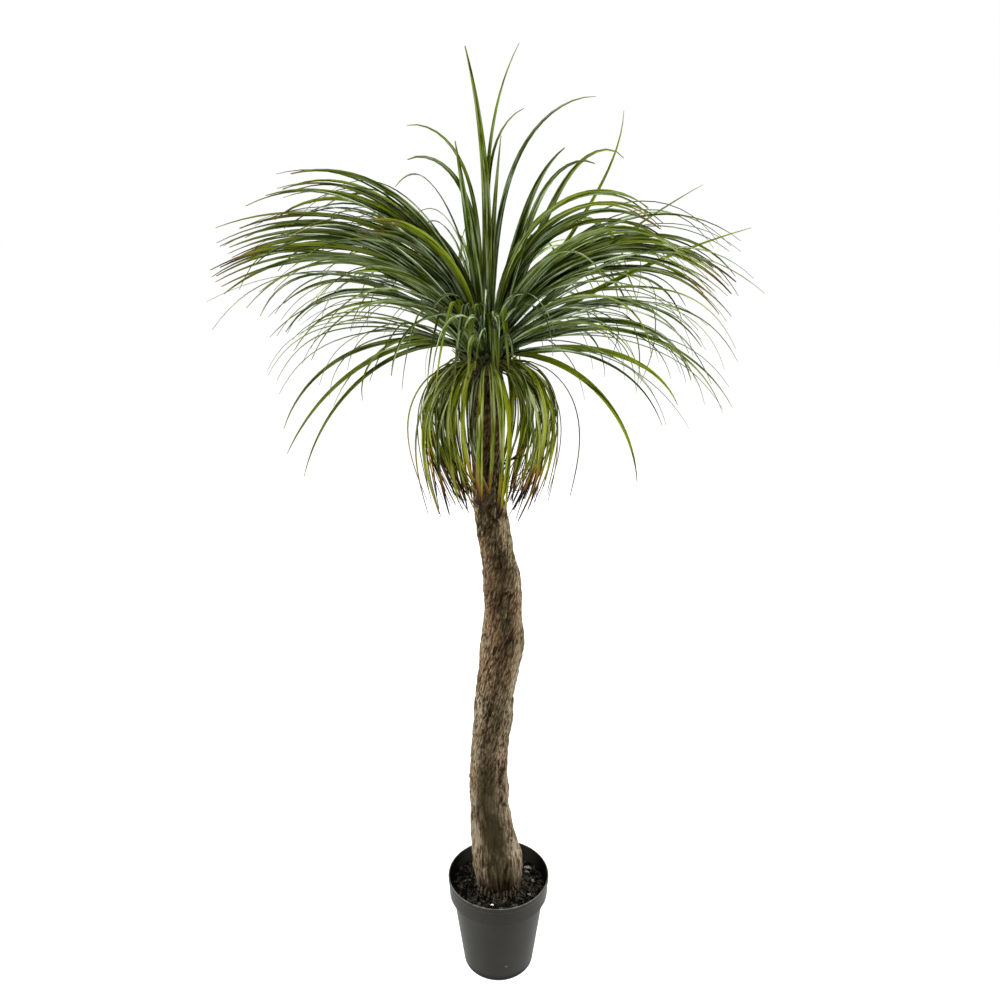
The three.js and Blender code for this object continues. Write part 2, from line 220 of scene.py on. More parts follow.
# Slivers of frayed bark at the foot: how many, their heights, lengths and widths
FIBRE_COUNT = 120
FIBRE_HEIGHTS = (153, 172)
FIBRE_LOWEST = 150
FIBRE_LENGTHS = (6, 20)
FIBRE_WIDTHS = (1.5, 5)
FIBRE_GAP = 0.4

# Leaves: what one is where its bunch doesn't say otherwise
PLAIN_LEAF = dict.fromkeys("bend turn twist fall kink blunt yellowness dryness".split(), 0)
PLAIN_LEAF |= {"power": 1, "settle": 1, "kink_at": 0.5}
CROWN = np.array([-16.0, 0.0, 1058.0])
CROWN_ROOT_RADIUS = (6, 19)
CROWN_ROOT_LIFT = 16
CROWN_ROOT_DROP = 4
CROWN_RULE = dict(
    rise=(63, 23),
    rise_spread=7,
    right_rise_fall=4,
    tip=(-22, -44),
    tip_spread=14,
    right_tip_fall=6,
    power=(1.1, 1.75),
    length=(412, 332),
    length_spread=(0.8, 1.04),
    front_shortening=0.35,
    side_bend=22,
    turn=50,
    twist=50,
    hanging_one_in=9,
    hanging_rise_fall=8,
    hanging_tip_fall=38,
    hanging_length=0.85,
    front_half_angle=48,
    front_keeps_one_in=6,
    front_lift=42,
    front_tip_fall=34,
    front_length=0.38,
    facing_rise_fall=0,
)
# The fine leaves set off steeper at the flanks and bow over evenly
FINE_RULE = dict(
    CROWN_RULE,
    rise=(88, 29),
    facing_rise_fall=24,
    tip=(-24, -46),
    power=(0.62, 1.5),
    length=(436, 335),
    side_bend=12,
    hanging_one_in=400,
    front_half_angle=42,
    front_lift=22,
    front_tip_fall=30,
    front_length=0.56,
)
# The outline that the fine leaves stay under: x and height
CROWN_ROOF = np.array([
    [-366, 1240], [-300, 1290], [-231, 1318], [-150, 1338], [-90, 1450],
    [100, 1450], [150, 1300], [221, 1266], [300, 1248], [351, 1200],
])
# Sprays whose tips come together: azimuth, its spread, rise, tip, power, length, how many
SPRAYS = [
    (188, 6, 82, -24, 0.68, 424, 26),
    (187, 8, 74, -14, 1.6, 380, 9),
    (0, 12, 66, -40, 1.1, 388, 14),
    (-8, 10, 84, -36, 1.5, 345, 9),
    (186, 26, 82, 2, 1.3, 262, 20),
]
# How far a spray's leaves differ, in degrees or as shares of the spray's own value
SPRAY_RULE = dict(
    rise=5,
    droop=5,
    power=(0.85, 1.2),
    length=(0.94, 1.02),
    bend=4,
    turn=25,
    twist=30,
    width=(5, 10),
    root=(8, 10),
)
BELL_RULE = dict(
    rise=(32, -2),
    rise_spread=6,
    past_vertical=109,
    inner_past_vertical=10,
    past_spread=8,
    settle=2,
    inner_settle=0.7,
    length=(246, 286),
    inner_shortening=0.1,
    side_bend=25,
    turn=35,
    twist=60,
    root_radius=17,
    root_drop=(15, 22),
    front_half_angle=30,
    front_keeps_one_in=4,
)
# The upper leaves are wider: rises, and the share of the width at each
CROWN_WIDTHS = ((28, 62), (0.5, 1.2))
FINE_WIDTHS = ((40, 75), (0.65, 1))
# Fine leaves that rise less than this are kept only one in so many
FINE_HIGH_RISE = 58
FINE_LOW_ONE_IN = 4
FRONT_GREENER = 0.8
THIN_FRONT_LIFT = 11
THIN_FRONT_GAIN = 0.6
GOLDEN_ANGLE = 137.508
BLADE_STEPS = 24
BLADE_RINGS = np.array([0, 2, 4, *range(6, BLADE_STEPS + 1)])
ROOT_SHARE = 0.4
WIDEST_AT = 0.28
TAPER_FROM = 0.2
TAPER_POWER = 1.25
THREAD_SHARE = 0.06
CHANNEL_SHARE = 0.17
BLADE_THICKNESS = (0.95, 0.35)
LEAF_NUMBER_STEP = 3.7
OUTLINE_TURN = 62
# Where they start: radius and lift of a level leaf and of an upright one
OUTLINE_ROOT_RADIUS = (18, 4)
OUTLINE_ROOT_LIFT = (-4, 14)
FOLDED_TURN = 12
FOLDED_TWIST = 20
FOLDED_ROOT = (15, -16)
# The crown's leaves droop more from this share of their length on, by an angle within a range
FALL_FROM = 0.6
CROWN_FALL = (6, 26)
# A fold: how sharp it is as a share of the length, its angles, and where it may lie
KINK_REACH = 0.07
KINK_ANGLES = (25, 65)
KINK_PLACES = (0.6, 0.88)
# The heads that the leaves stand on: radius and height
CORE_PROFILE = np.array([
    [NEAR_AXIS, STEM_TOP + TOUCH_GAP],
    [19.5, STEM_TOP + TOUCH_GAP],
    [21, STEM_TOP + 3],
    [21.5, 1052],
    [19, 1064],
    [11, 1073],
    [NEAR_AXIS, 1076],
])
CORE_CORNER_BOW = 3
CORE_COLUMNS = 48

# The leaves that give the crown its outline: azimuth, rise, droop, power of the droop,
# length, width, and how yellow the leaf is
OUTLINE_LEAVES = np.array([
    [188, 93, 18, 1.8, 378, 15, 0.45],
    [-8, 92, 32, 3, 386, 9, 0.5],
    [10, 87, 87, 3, 386, 9, 0.15],
    [170, 88, 98, 4.2, 335, 10, 0.5],
    [188, 84, 4, 1.5, 268, 16, 0.25],
    [172, 87, 112, 4.2, 300, 15, 0.2],
    [-6, 91, 70, 6, 320, 10, 0.4],
    [-10, 89, 6, 1.5, 272, 12, 0.4],
    [12, 76, 40, 4.5, 284, 15, 0.2],
    [-14, 73, 100, 6, 300, 15, 0.2],
    [9, 67, 120, 7, 342, 12, 0.45],
    [14, 54, -36, 5, 366, 7, 0.9],
    [-8, 47, 18, 1.2, 350, 6, 0.3],
    [6, 35, 20, 1, 395, 8, 0.75],
    [168, 72, 108, 1.5, 405, 12, 0.7],
    [190, 64, 92, 1.4, 385, 10, 0.6],
    [176, 52, 72, 1.2, 380, 9, 0.6],
    [184, 24, 94, 1.1, 330, 9, 0.5],
    [192, 42, 105, 0.55, 335, 10, 0.6],
    [186, 38, 112, 0.55, 345, 8, 0.6],
    [-12, 15, 100, 0.8, 300, 9, 0.85],
    [8, 24, 92, 1.3, 396, 7, 0.5],
    [-16, 28, 88, 1.3, 368, 6, 0.4],
    [-4, 10, 75, 2, 282, 11, 0.9],
    [200, 30, 130, 1.6, 222, 8, 0.6],
])

# Short folded leaves: azimuth, rise, droop, length, width, where it folds and how far, yellowness
FOLDED_LEAVES = np.array([
    [205, 50, 60, 220, 11, 0.55, 60, 0.3],
    [216, 56, 45, 235, 13, 0.5, 95, 0.2],
    [225, 64, 40, 230, 12, 0.45, 110, 0.5],
    [234, 70, 35, 240, 14, 0.44, 115, 0.7],
    [243, 74, 30, 225, 13, 0.43, 125, 0.2],
    [251, 78, 25, 215, 15, 0.43, 138, 0.55],
    [262, 82, 20, 150, 13, 0.5, 120, 0.0],
    [280, 82, 15, 175, 15, 0.45, 145, 0.2],
    [290, 82, 18, 170, 12, 0.45, 152, 0.6],
    [299, 78, 20, 180, 11, 0.48, 142, 0.7],
])

# Camera, from the ellipses of the pot's rim and foot in the photograph
PHOTO_SIZE = 1000
FOCAL_PIXELS = 899
CAMERA_PLACE = (0.0026, -1.263, 1.254)
CAMERA_PITCH = 18.03
SENSOR_WIDTH = 36

# Studio, in metres: what the white surround gives as light, and the floor's own glow and reach
SURROUND_LIGHT = 0.16
FLOOR_GLOW = 0.94
FLOOR_REACH = 30
VIEW_REACH = 100
# Soft boxes: name, place, aim, size, watts
SOFT_BOXES = [
    ("left_box", (-2.2, -0.25, 1.5), (0, 0, 0.7), (1.2, 2.4), 102),
    ("right_box", (2.2, -0.25, 1.5), (0, 0, 0.7), (1.2, 2.4), 102),
    ("top_box", (0, 0.2, 3.2), (0, 0, 1.1), (2.2, 2.2), 112),
]


class Draws:
    """Repeatable numbers between two limits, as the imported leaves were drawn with."""

    def __init__(self, seed):
        self.state = seed

    def __call__(self, low, high):
        self.state = (self.state * 1664525 + 1013904223) & 0xFFFFFFFF
        return low + (high - low) * self.state / 2 ** 32

    def within(self, spread):
        """One of the numbers, up to the spread either way."""
        return self(-spread, spread)


def between(low, high, share):
    """From low at a share of 0 to high at 1."""
    return low + (high - low) * share


def eased(share):
    """0 to 1 with level ends: 3s² - 2s³ of the share held between 0 and 1."""
    share = np.clip(share, 0, 1)
    return share * share * (3 - 2 * share)


def bump(distance, width):
    """A bell of the distance: 1 at none, and 1/e at the width."""
    return np.exp(-((distance / width) ** 2))


def lattice_noise(across, up, around, seed):
    """Random numbers at whole (across, up), eased between; across repeats after around places."""
    table = np.random.default_rng(seed).random((NOISE_ROWS, around))
    column = np.floor(across).astype(int)
    row = np.floor(up).astype(int)
    x, y = eased(across - column), eased(up - row)
    left, right = column % around, (column + 1) % around
    lower, upper = row % NOISE_ROWS, (row + 1) % NOISE_ROWS
    low = between(table[lower, left], table[lower, right], x)
    high = between(table[upper, left], table[upper, right], x)
    return between(low, high, y)


def plane_noise(x, y, size, seed):
    """Lattice noise on a plane, moved so that no place of it is negative."""
    return lattice_noise(x / size + PLANE_SPAN / 2, y / size + PLANE_SPAN, PLANE_SPAN, seed)


def smooth_course(heights, stations):
    """Columns of the stations at any height, by cubic pieces whose slopes are np.gradient's."""
    known, values = stations[:, 0], stations[:, 1:]
    slopes = np.gradient(values, known, axis=0)
    piece = np.clip(np.searchsorted(known, heights) - 1, 0, len(known) - 2)
    gap = known[piece + 1] - known[piece]
    t = ((heights - known[piece]) / gap)[:, None]
    gap = gap[:, None]
    start, end = values[piece], values[piece + 1]
    out, into = slopes[piece] * gap, slopes[piece + 1] * gap
    ease = eased(t)
    return (1 - ease) * start + ease * end + t * (1 - t) * ((1 - t) * out - t * into)


def stacked(*parts):
    """Numbers and arrays, spread to one shape, side by side along a new last axis."""
    return np.stack(np.broadcast_arrays(*parts), axis=-1)


def grid_quads(rows, columns):
    """Faces of a grid of points numbered row by row, its last column joined to the first."""
    row, column = np.meshgrid(np.arange(rows - 1), np.arange(columns), indexing="ij")
    beside = (column + 1) % columns
    corners = [row * columns + column, row * columns + beside]
    corners += [(row + 1) * columns + beside, (row + 1) * columns + column]
    return stacked(*(corner.ravel() for corner in corners))


def fan(rim, pole, upwards):
    """Triangles from a ring of point numbers to one pole."""
    following = np.roll(rim, -1)
    ends = (rim, following) if upwards else (following, rim)
    return stacked(*ends, pole)


def skin(rings):
    """A closed skin through rings (rows, columns, 3): the points, quads and end triangles."""
    rows, columns = rings.shape[:2]
    poles = rings[[0, -1]].mean(axis=1)
    points = np.concatenate([rings.reshape(-1, 3), poles])
    rim = np.arange(columns)
    ends = [fan(rim, rows * columns, False)]
    ends += [fan(rim + (rows - 1) * columns, rows * columns + 1, True)]
    return points, grid_quads(rows, columns).tolist() + np.concatenate(ends).tolist()


def repeated(points, quads):
    """Copies (count, points, 3) of one shape that share a list of faces."""
    count, size = points.shape[:2]
    faces = quads[None] + (np.arange(count) * size)[:, None, None]
    return points.reshape(-1, 3), faces.reshape(-1, quads.shape[1]).tolist()


def linked(name, data):
    """A new object in the scene."""
    made = bpy.data.objects.new(name, data)
    bpy.context.scene.collection.objects.link(made)
    return made


def add_piece(name, shape, finish, replaces=(), attributes=None, smooth=True):
    """Puts a shape in millimetres into a mesh in metres that rides on the plant's one body."""
    points, faces = shape
    mesh = bpy.data.meshes.new(name)
    mesh.from_pydata((np.asarray(points) * MM).tolist(), [], faces)
    for label, values in (attributes or {}).items():
        layer = mesh.attributes.new(label, "FLOAT_VECTOR", "POINT")
        layer.data.foreach_set("vector", np.asarray(values, np.float32).ravel())
    mesh.polygons.foreach_set("use_smooth", np.full(len(mesh.polygons), smooth))
    mesh.materials.append(finish)
    mesh.update()
    piece = linked(name, mesh)
    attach(piece, "root")
    if replaces:
        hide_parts(*replaces)
    return piece


class Wire:
    """A socket's value, whose sums and products add Math nodes."""

    def __init__(self, graph, socket):
        self.graph = graph
        self.socket = socket

    def maths(self, operation, *values):
        sockets = dict(enumerate(values))
        return self.graph.node("Math", {"operation": operation}, sockets)

    def __add__(self, other):
        return self.maths("ADD", self, other)

    def __sub__(self, other):
        return self.maths("SUBTRACT", self, other)

    def __rsub__(self, other):
        return self.maths("SUBTRACT", other, self)

    def __mul__(self, other):
        return self.maths("MULTIPLY", self, other)

    def size(self):
        return self.maths("ABSOLUTE", self)

    def held(self):
        """The value kept between 0 and 1."""
        settings = {"operation": "MULTIPLY_ADD", "use_clamp": True}
        return self.graph.node("Math", settings, {0: self, 1: 1, 2: 0})

    __radd__ = __add__
    __rmul__ = __mul__


def above(wire, start, slope):
    """A share that climbs by slope where the value is above start."""
    return ((wire - start) * slope).held()


def below(wire, start, slope):
    """A share that climbs by slope where the value is below start."""
    return ((start - wire) * slope).held()


class Graph:
    """A node tree and the one way that nodes are added to it."""

    def __init__(self, tree):
        self.tree = tree

    def node(self, kind, settings=None, sockets=None, output=0):
        made = self.tree.nodes.new("ShaderNode" + kind)
        for label, value in (settings or {}).items():
            setattr(made, label, value)
        for label, value in (sockets or {}).items():
            self.feed(made.inputs[label], value)
        return Wire(self, made.outputs[output])

    def feed(self, socket, value):
        if isinstance(value, Wire):
            self.tree.links.new(value.socket, socket)
        else:
            socket.default_value = value


class Finish(Graph):
    """One material and the few kinds of node that it is made with."""

    def __init__(self, name, roughness=0.5, specular=0.5):
        self.material = bpy.data.materials.new(name)
        self.material.use_nodes = True
        super().__init__(self.material.node_tree)
        self.shader = self.tree.nodes["Principled BSDF"]
        self.shader.inputs["Roughness"].default_value = roughness
        self.shader.inputs["Specular IOR Level"].default_value = specular

    def set(self, label, value):
        self.feed(self.shader.inputs[label], value)

    def attribute(self, label):
        """The three numbers of a point attribute."""
        stored = self.node("Attribute", {"attribute_name": label}, output="Vector")
        return self.parts(stored)

    def place(self):
        return self.node("TexCoord", output="Object")

    def parts(self, vector):
        first = self.node("SeparateXYZ", {}, {"Vector": vector})
        outputs = first.socket.node.outputs
        return [Wire(self, outputs[i]) for i in range(3)]

    def vector(self, x, y, z):
        return self.node("CombineXYZ", {}, {"X": x, "Y": y, "Z": z})

    def stretched(self, vector, up):
        """A place whose height counts for less, so that a pattern on it is drawn out upwards."""
        return self.node("Mapping", {}, {"Vector": vector, "Scale": (1, 1, up)})

    def noise(self, vector, scale, detail=3.0, roughness=0.5):
        sockets = {"Vector": vector, "Scale": scale, "Detail": detail, "Roughness": roughness}
        return self.node("TexNoise", {}, sockets)

    def ramp(self, value, stops):
        """A colour for each share: stops are (place, colour)."""
        wire = self.node("ValToRGB", {}, {"Fac": value})
        line = wire.socket.node.color_ramp
        while len(line.elements) < len(stops):
            line.elements.new(1.0)
        for element, (place, colour) in zip(line.elements, stops):
            element.position = place
            element.color = (*colour, 1.0)
        return wire

    def coats(self, base, *layers):
        """Sets the base colour: a first one, and each next one mixed over it by its share."""
        for layer, share in layers:
            ends = [(*end, 1.0) if isinstance(end, tuple) else end for end in (base, layer)]
            sockets = {0: share, 6: ends[0], 7: ends[1]}
            base = self.node("Mix", {"data_type": "RGBA"}, sockets, output=2)
        self.set("Base Color", base)

    def bumped(self, height, depth):
        sockets = {"Height": height, "Distance": depth * MM, "Strength": 1.0}
        self.set("Normal", self.node("Bump", {}, sockets))


def pot_finish():
    """Moulded grey-black plastic: a fine grain, faint upright scuffs and a slight cloudiness.

    The rim's top edge takes a painted highlight, the foot a painted shade, and the gate mark on
    the front a pale painted highlight.
    """
    finish = Finish("pot_plastic", specular=0.1)
    place = finish.place()
    grain = finish.noise(place, 900, 2)
    scuffs = finish.noise(finish.stretched(place, 0.2), 60, 4, 0.6)
    cloud = finish.noise(place, 14, 3)
    plain = finish.ramp(cloud * 0.6 + scuffs * 0.4, [
        (0.35, (0.0132, 0.0126, 0.0092)),
        (0.65, (0.0198, 0.0191, 0.0143)),
    ])
    x, y, height = finish.parts(place)
    # Painted highlight along the rim's top edge, broken up by the scuffs
    rim_highlight = above(height, (POT_HEIGHT - POT_RIM_HIGHLIGHT_DEPTH) * MM, 1800) * (scuffs * 2.0 - 0.45).held()
    # Painted shade, near black, low on the pot's foot
    foot_shade = below(height, POT_FOOT_SHADE_HEIGHT * MM, 200)
    # Painted highlight: a pale spot on the gate mark, on the front half only
    beside = (x - GATE_HIGHLIGHT_PLACE[0] * MM).size() * 220 + (height - GATE_HIGHLIGHT_PLACE[1] * MM).size() * 300
    scar = (1 - beside).held() * (y * -1000).held()
    finish.coats(
        plain,
        ((0.13, 0.13, 0.118), rim_highlight),
        ((0.11, 0.11, 0.10), scar),
        ((0.0012, 0.0012, 0.001), foot_shade),
    )
    finish.set("Roughness", between(0.35, 0.55, scuffs))
    finish.bumped(grain * 0.5 + scuffs * 0.5, 0.12)
    return finish.material


def mix_finish(name, dark, light, specular):
    """Damp peat: near black, with browner fibres and a few paler specks."""
    finish = Finish(name, roughness=0.6, specular=specular)
    place = finish.place()
    speck = finish.noise(place, 420, 5, 0.7)
    patch = finish.noise(place, 60, 3)
    tone = (speck * 2.2 + patch * 0.8 - 1.15).held()
    finish.coats(finish.ramp(tone, [(0.25, dark), (0.95, light)]))
    finish.bumped(speck, 1.2)
    return finish.material


def bark_finish():
    """Fibrous bark: leaning strands with painted shade between them and painted highlights on
    their ridges, on tan, olive and reddish patches.

    The strands are longer at the foot, which darkens in patches and takes painted shade at its
    lowest part. The furrow up the front is smoother, and a painted shade band runs up the front
    over it; the bark is more brown higher up, partly its own tone and partly painted shade under
    the crown.
    """
    finish = Finish("bark", roughness=0.9, specular=0.05)
    # The second fact is the painted shade share: the band up the front, the furrow and the knot's
    # hollow
    relief, furrow, height = finish.attribute("bark")
    place = finish.place()
    x, y, z = finish.parts(place)
    fibre = finish.noise(finish.vector(x - z * 0.26, y, z * 0.28), 390, 2, 0.5)
    groove = finish.noise(finish.stretched(place, 0.13), 350, 2, 0.5)
    strand = finish.noise(finish.stretched(place, 0.2), 300, 4, 0.6)
    patch = finish.noise(finish.stretched(place, 0.45), 26, 4, 0.55)
    hue = finish.noise(finish.stretched(place, 0.5), 17, 2)
    at_foot = (1.5 - height * 4.5).held()
    lines = groove * at_foot + fibre * (1 - at_foot)
    # The tone falls with relief, a painted shade down the cut-in cracks and grooves, and with the
    # painted shade band, besides the strands and patches
    tone = (relief * 0.6 + strand * 0.4 + lines * 0.8 + patch * 0.6 - 0.92 - furrow * 0.25).held()
    grey = finish.ramp(tone, [
        (0.0, (0.040, 0.029, 0.016)),
        (0.3, (0.114, 0.087, 0.052)),
        (0.65, (0.200, 0.165, 0.116)),
        (1.0, (0.320, 0.275, 0.208)),
    ])
    brown = finish.ramp(tone, [
        (0.0, (0.030, 0.018, 0.007)),
        (0.3, (0.088, 0.055, 0.022)),
        (0.65, (0.168, 0.112, 0.054)),
        (1.0, (0.290, 0.212, 0.116)),
    ])
    # More brown with the hue patches as the bark's own tone; up the front band it is painted
    # shade, and higher up partly own tone and partly painted shade under the crown
    browner_and_shaded = (furrow * 0.35 + height * 0.9 - 0.2 + (hue - 0.5) * 1.6).held()
    reddish = above(hue, 0.51, 8) * height * 0.9
    # Painted shade up the front band, the furrow and the knot's hollow, stronger at the foot
    shaded = (furrow * (at_foot * 0.3 + 0.8)).held()
    # Darker towards the foot, in patches
    foot_darkening = ((0.075 - height) * 18 + (patch - 0.5) * 4).held() * 0.5
    broken = above(patch, 0.4, 7) * 0.4 + 0.6
    # Painted shade between the strands and down the cut-in cracks
    gap_shade = below(lines, 0.475, 22) * broken * (1 - furrow * at_foot * 0.6)
    gap_shade = (gap_shade + below(relief, 0.12, 8) * 0.8).held()
    # Painted highlight along the strands' raised edges
    ridge_highlight = above(lines, 0.56, 10) * broken * (1 - furrow * (at_foot * 0.3 + 0.7)) * 0.5
    finish.coats(
        grey,
        (brown, browner_and_shaded),
        ((0.165, 0.085, 0.047), reddish),
        ((0.110, 0.100, 0.040), below(hue, 0.45, 8) * 0.65),
        ((0.034, 0.026, 0.012), shaded),
        # Painted shade at the stem's lowest part, where it meets the mix
        ((0.020, 0.013, 0.006), below(height, 0.032, 34) * 0.6),
        ((0.034, 0.024, 0.012), foot_darkening),
        ((0.015, 0.009, 0.003), gap_shade * (0.85 - at_foot * 0.15)),
        ((0.330, 0.265, 0.175), ridge_highlight),
    )
    finish.bumped(strand * 0.4 + lines * 0.9, 2.6)
    return finish.material


def leaf_finish(name, deep, fresh, yellow, bloom_and_sheen, tip, burnt):
    """A strap leaf with fine veins along it, a pale glaucous coat that doubles as painted
    highlight streaks, yellow edges and a dry tip.

    The blade attribute holds mm along, mm across and the leaf's own number; the tint
    attribute holds how yellow it is, how far it has dried, and the share of its length.
    """
    finish = Finish(name, specular=0.04)
    along, across, number = finish.attribute("blade")
    yellowness, dryness, share = finish.attribute("tint")
    veins = finish.noise(finish.vector(across * 0.28, along * 0.011, number), 1.5, 3, 0.65)
    patch = finish.noise(finish.vector(across * 0.05, along * 0.02, number), 1.0, 2)
    leaf_tone = finish.noise(finish.vector(number * 1.3, number * 0.7, 0.5), 1.0, 0)
    yellowed = (yellowness * 1.3 + share * 0.5 - 0.5 + (patch - 0.5) * 0.5).held()
    # Pale streaks, most near the root: partly the leaf's glaucous coat and partly painted
    # highlight
    silver_and_sheen = (1 - yellowness * 1.2) * (1.05 - share * 0.7) * (veins * 10 - 4.9)
    finish.coats(
        deep,
        (fresh, (patch + leaf_tone * 2.4 - 1.25).held()),
        (yellow, yellowed),
        (yellow, (across.size() * 0.45 - 1.1).held() * 0.5),
        (bloom_and_sheen, silver_and_sheen.held()),
        (deep, below(veins, 0.485, 10) * 0.9),
        (tip, ((share + dryness - 0.97 + (patch - 0.5) * 0.5) * 6).held()),
        (burnt, ((share + dryness - 1.06 + (patch - 0.5) * 0.3) * 8).held()),
    )
    finish.set("Roughness", between(0.3, 0.55, veins))
    finish.bumped(veins, 0.4)
    return finish.material


def fibre_finish(name, dark, light, greening):
    """Dry fibre along each strip, turning green from a height that greening sets (0 for never)."""
    finish = Finish(name, roughness=0.85, specular=0.2)
    along, across, number = finish.attribute("blade")
    fibre = finish.noise(finish.vector(across * 0.8, along * 0.05, number), 2.0, 4, 0.6)
    dry = finish.ramp(fibre, [(0.36, dark), (0.64, light)])
    green = finish.ramp(fibre, [(0.36, (0.008, 0.014, 0.002)), (0.64, (0.060, 0.080, 0.022))])
    share = ((along * 0.11 - 0.9 + fibre * 0.4) * greening).held()
    finish.coats(dry, (green, share))
    finish.bumped(fibre, 0.4)
    return finish.material


def speck_finish(name, colour, shade):
    """A grain that stands out of the mix, with a little dirt on it."""
    finish = Finish(name, roughness=0.85)
    dirt = finish.noise(finish.place(), 500, 3)
    finish.coats(finish.ramp(dirt, [(0.3, shade), (0.6, colour)]))
    finish.bumped(dirt, 0.3)
    return finish.material


def softened(profile, radius):
    """A profile whose corners are bows: each point becomes five on (1-t)²A + 2t(1-t)B + t²C."""
    before, corner, after = profile[:-2], profile[1:-1], profile[2:]

    def towards(end):
        reach = end - corner
        length = np.linalg.norm(reach, axis=1, keepdims=True)
        return corner + reach / length * np.minimum(radius, length * 0.45)

    t = np.linspace(0, 1, 5)[:, None, None]
    bows = (1 - t) ** 2 * towards(before) + 2 * t * (1 - t) * corner + t * t * towards(after)
    return np.concatenate([profile[:1], bows.transpose(1, 0, 2).reshape(-1, 2), profile[-1:]])


def divided(profile, longest):
    """A profile with points added evenly on stretches longer than longest."""
    steps = np.ceil(np.linalg.norm(np.diff(profile, axis=0), axis=1) / longest).astype(int)
    steps = np.maximum(steps, 1)
    places = [np.arange(count) / count + i for i, count in enumerate(steps)]
    places = np.append(np.concatenate(places), len(profile) - 1)
    return stacked(*(np.interp(places, np.arange(len(profile)), c) for c in profile.T))


def turned(profile, columns):
    """Rings of a profile of (radius, height) carried round the upright axis."""
    angle = np.arange(columns) / columns * FULL_TURN
    radius, height = profile[:, :1], profile[:, 1:]
    return stacked(radius * np.cos(angle), radius * np.sin(angle), height)


def pot_profile():
    """Radius and height from the middle of the underside, over the rim, to the middle inside."""
    lip_foot = POT_HEIGHT - LIP_HEIGHT
    return np.array([
        [NEAR_AXIS / 2, 0],
        [POT_FOOT_RADIUS - POT_FOOT_ROUNDING, 0],
        [POT_FOOT_RADIUS, POT_FOOT_ROUNDING],
        [SHOULDER_RADIUS, SHOULDER_HEIGHT],
        [COLLAR_FOOT_RADIUS, COLLAR_FOOT_HEIGHT],
        [COLLAR_FOOT_RADIUS, COLLAR_FOOT_HEIGHT + POT_EDGE],
        [RIM_RADIUS - LIP_STEP - RIM_TAPER, lip_foot],
        [RIM_RADIUS - RIM_TAPER, lip_foot + POT_EDGE],
        [RIM_RADIUS, POT_HEIGHT - POT_EDGE],
        [RIM_RADIUS - POT_EDGE, POT_HEIGHT],
        [RIM_RADIUS - LIP_STEP - POT_WALL + POT_EDGE / 2, POT_HEIGHT],
        [RIM_RADIUS - LIP_STEP - POT_WALL, POT_HEIGHT - POT_EDGE],
        [COLLAR_FOOT_RADIUS - POT_WALL, COLLAR_FOOT_HEIGHT + POT_WALL],
        [SHOULDER_RADIUS - POT_WALL, SHOULDER_HEIGHT + POT_WALL],
        [POT_FOOT_RADIUS - POT_WALL, POT_INNER_ROUNDING],
        [POT_FOOT_RADIUS - POT_INNER_ROUNDING, POT_WALL],
        [NEAR_AXIS / 2, POT_WALL],
    ])


def pot_shape():
    """The pot's profile turned, its marks raised along the radius."""
    profile = divided(softened(pot_profile(), POT_CORNER_BOW), POT_LONGEST_STEP)
    rings = turned(profile, POT_COLUMNS)
    radius = np.linalg.norm(rings[..., :2], axis=-1)
    azimuth = np.degrees(np.arctan2(rings[..., 1], rings[..., 0])) % 360
    raised = np.zeros_like(radius)
    for place, height, half_width, half_height, relief in MOULD_MARKS:
        across = np.radians(azimuth - place) * radius
        raised += relief * bump(across, half_width) * bump(rings[..., 2] - height, half_height)
    outside = radius > POT_FOOT_RADIUS - 1
    rings[..., :2] *= (1 + np.where(outside, raised, 0) / radius)[..., None]
    return skin(rings)


def with_drain_holes(pot):
    """Cuts the drain holes through the pot's floor."""
    spots = np.arange(DRAIN_HOLES) / DRAIN_HOLES * FULL_TURN
    rod, sides = skin(turned(np.array([[DRAIN_HOLE_RADIUS, z] for z in DRAIN_CUT]), DRAIN_COLUMNS))
    rods = [rod + DRAIN_CIRCLE_RADIUS * np.array([np.cos(a), np.sin(a), 0]) for a in spots]
    points = np.concatenate(rods)
    faces = [[i + len(rod) * k for i in side] for k in range(DRAIN_HOLES) for side in sides]
    mesh = bpy.data.meshes.new("drain_cutters")
    mesh.from_pydata((points * MM).tolist(), [], faces)
    cutter = linked("drain_cutters", mesh)
    cut = pot.modifiers.new("drain", "BOOLEAN")
    cut.operation = "DIFFERENCE"
    cut.solver = "EXACT"
    cut.object = cutter
    bpy.context.view_layer.update()
    graph = bpy.context.evaluated_depsgraph_get()
    whole = pot.data
    pot.data = bpy.data.meshes.new_from_object(pot.evaluated_get(graph))
    pot.modifiers.clear()
    bpy.data.meshes.remove(whole)
    bpy.data.objects.remove(cutter)


def mix_height(x, y):
    """Mounded towards the stem: eased from the wall to the hole, with lumps of three sizes."""
    share = np.clip((MIX_EDGE_RADIUS - np.hypot(x, y)) / (MIX_EDGE_RADIUS - MIX_HOLE_RADIUS), 0, 1)
    mound = between(MIX_EDGE_HEIGHT, MIX_MOUND_HEIGHT - MIX_MOUND_SINK, eased(share))
    noise = sum(reach * plane_noise(x, y, size, seed) for reach, size, seed in MIX_LUMPS)
    ends = np.clip(share * 8, 0.4, 1) * np.clip((1 - share) * 12, 0, 1)
    return mound + (noise - MIX_LUMPS_MEAN) * ends


def on_mix(x, y, lift=0):
    """Places at the mix's height, and a lift above it."""
    return stacked(x, y, mix_height(x, y) + lift)


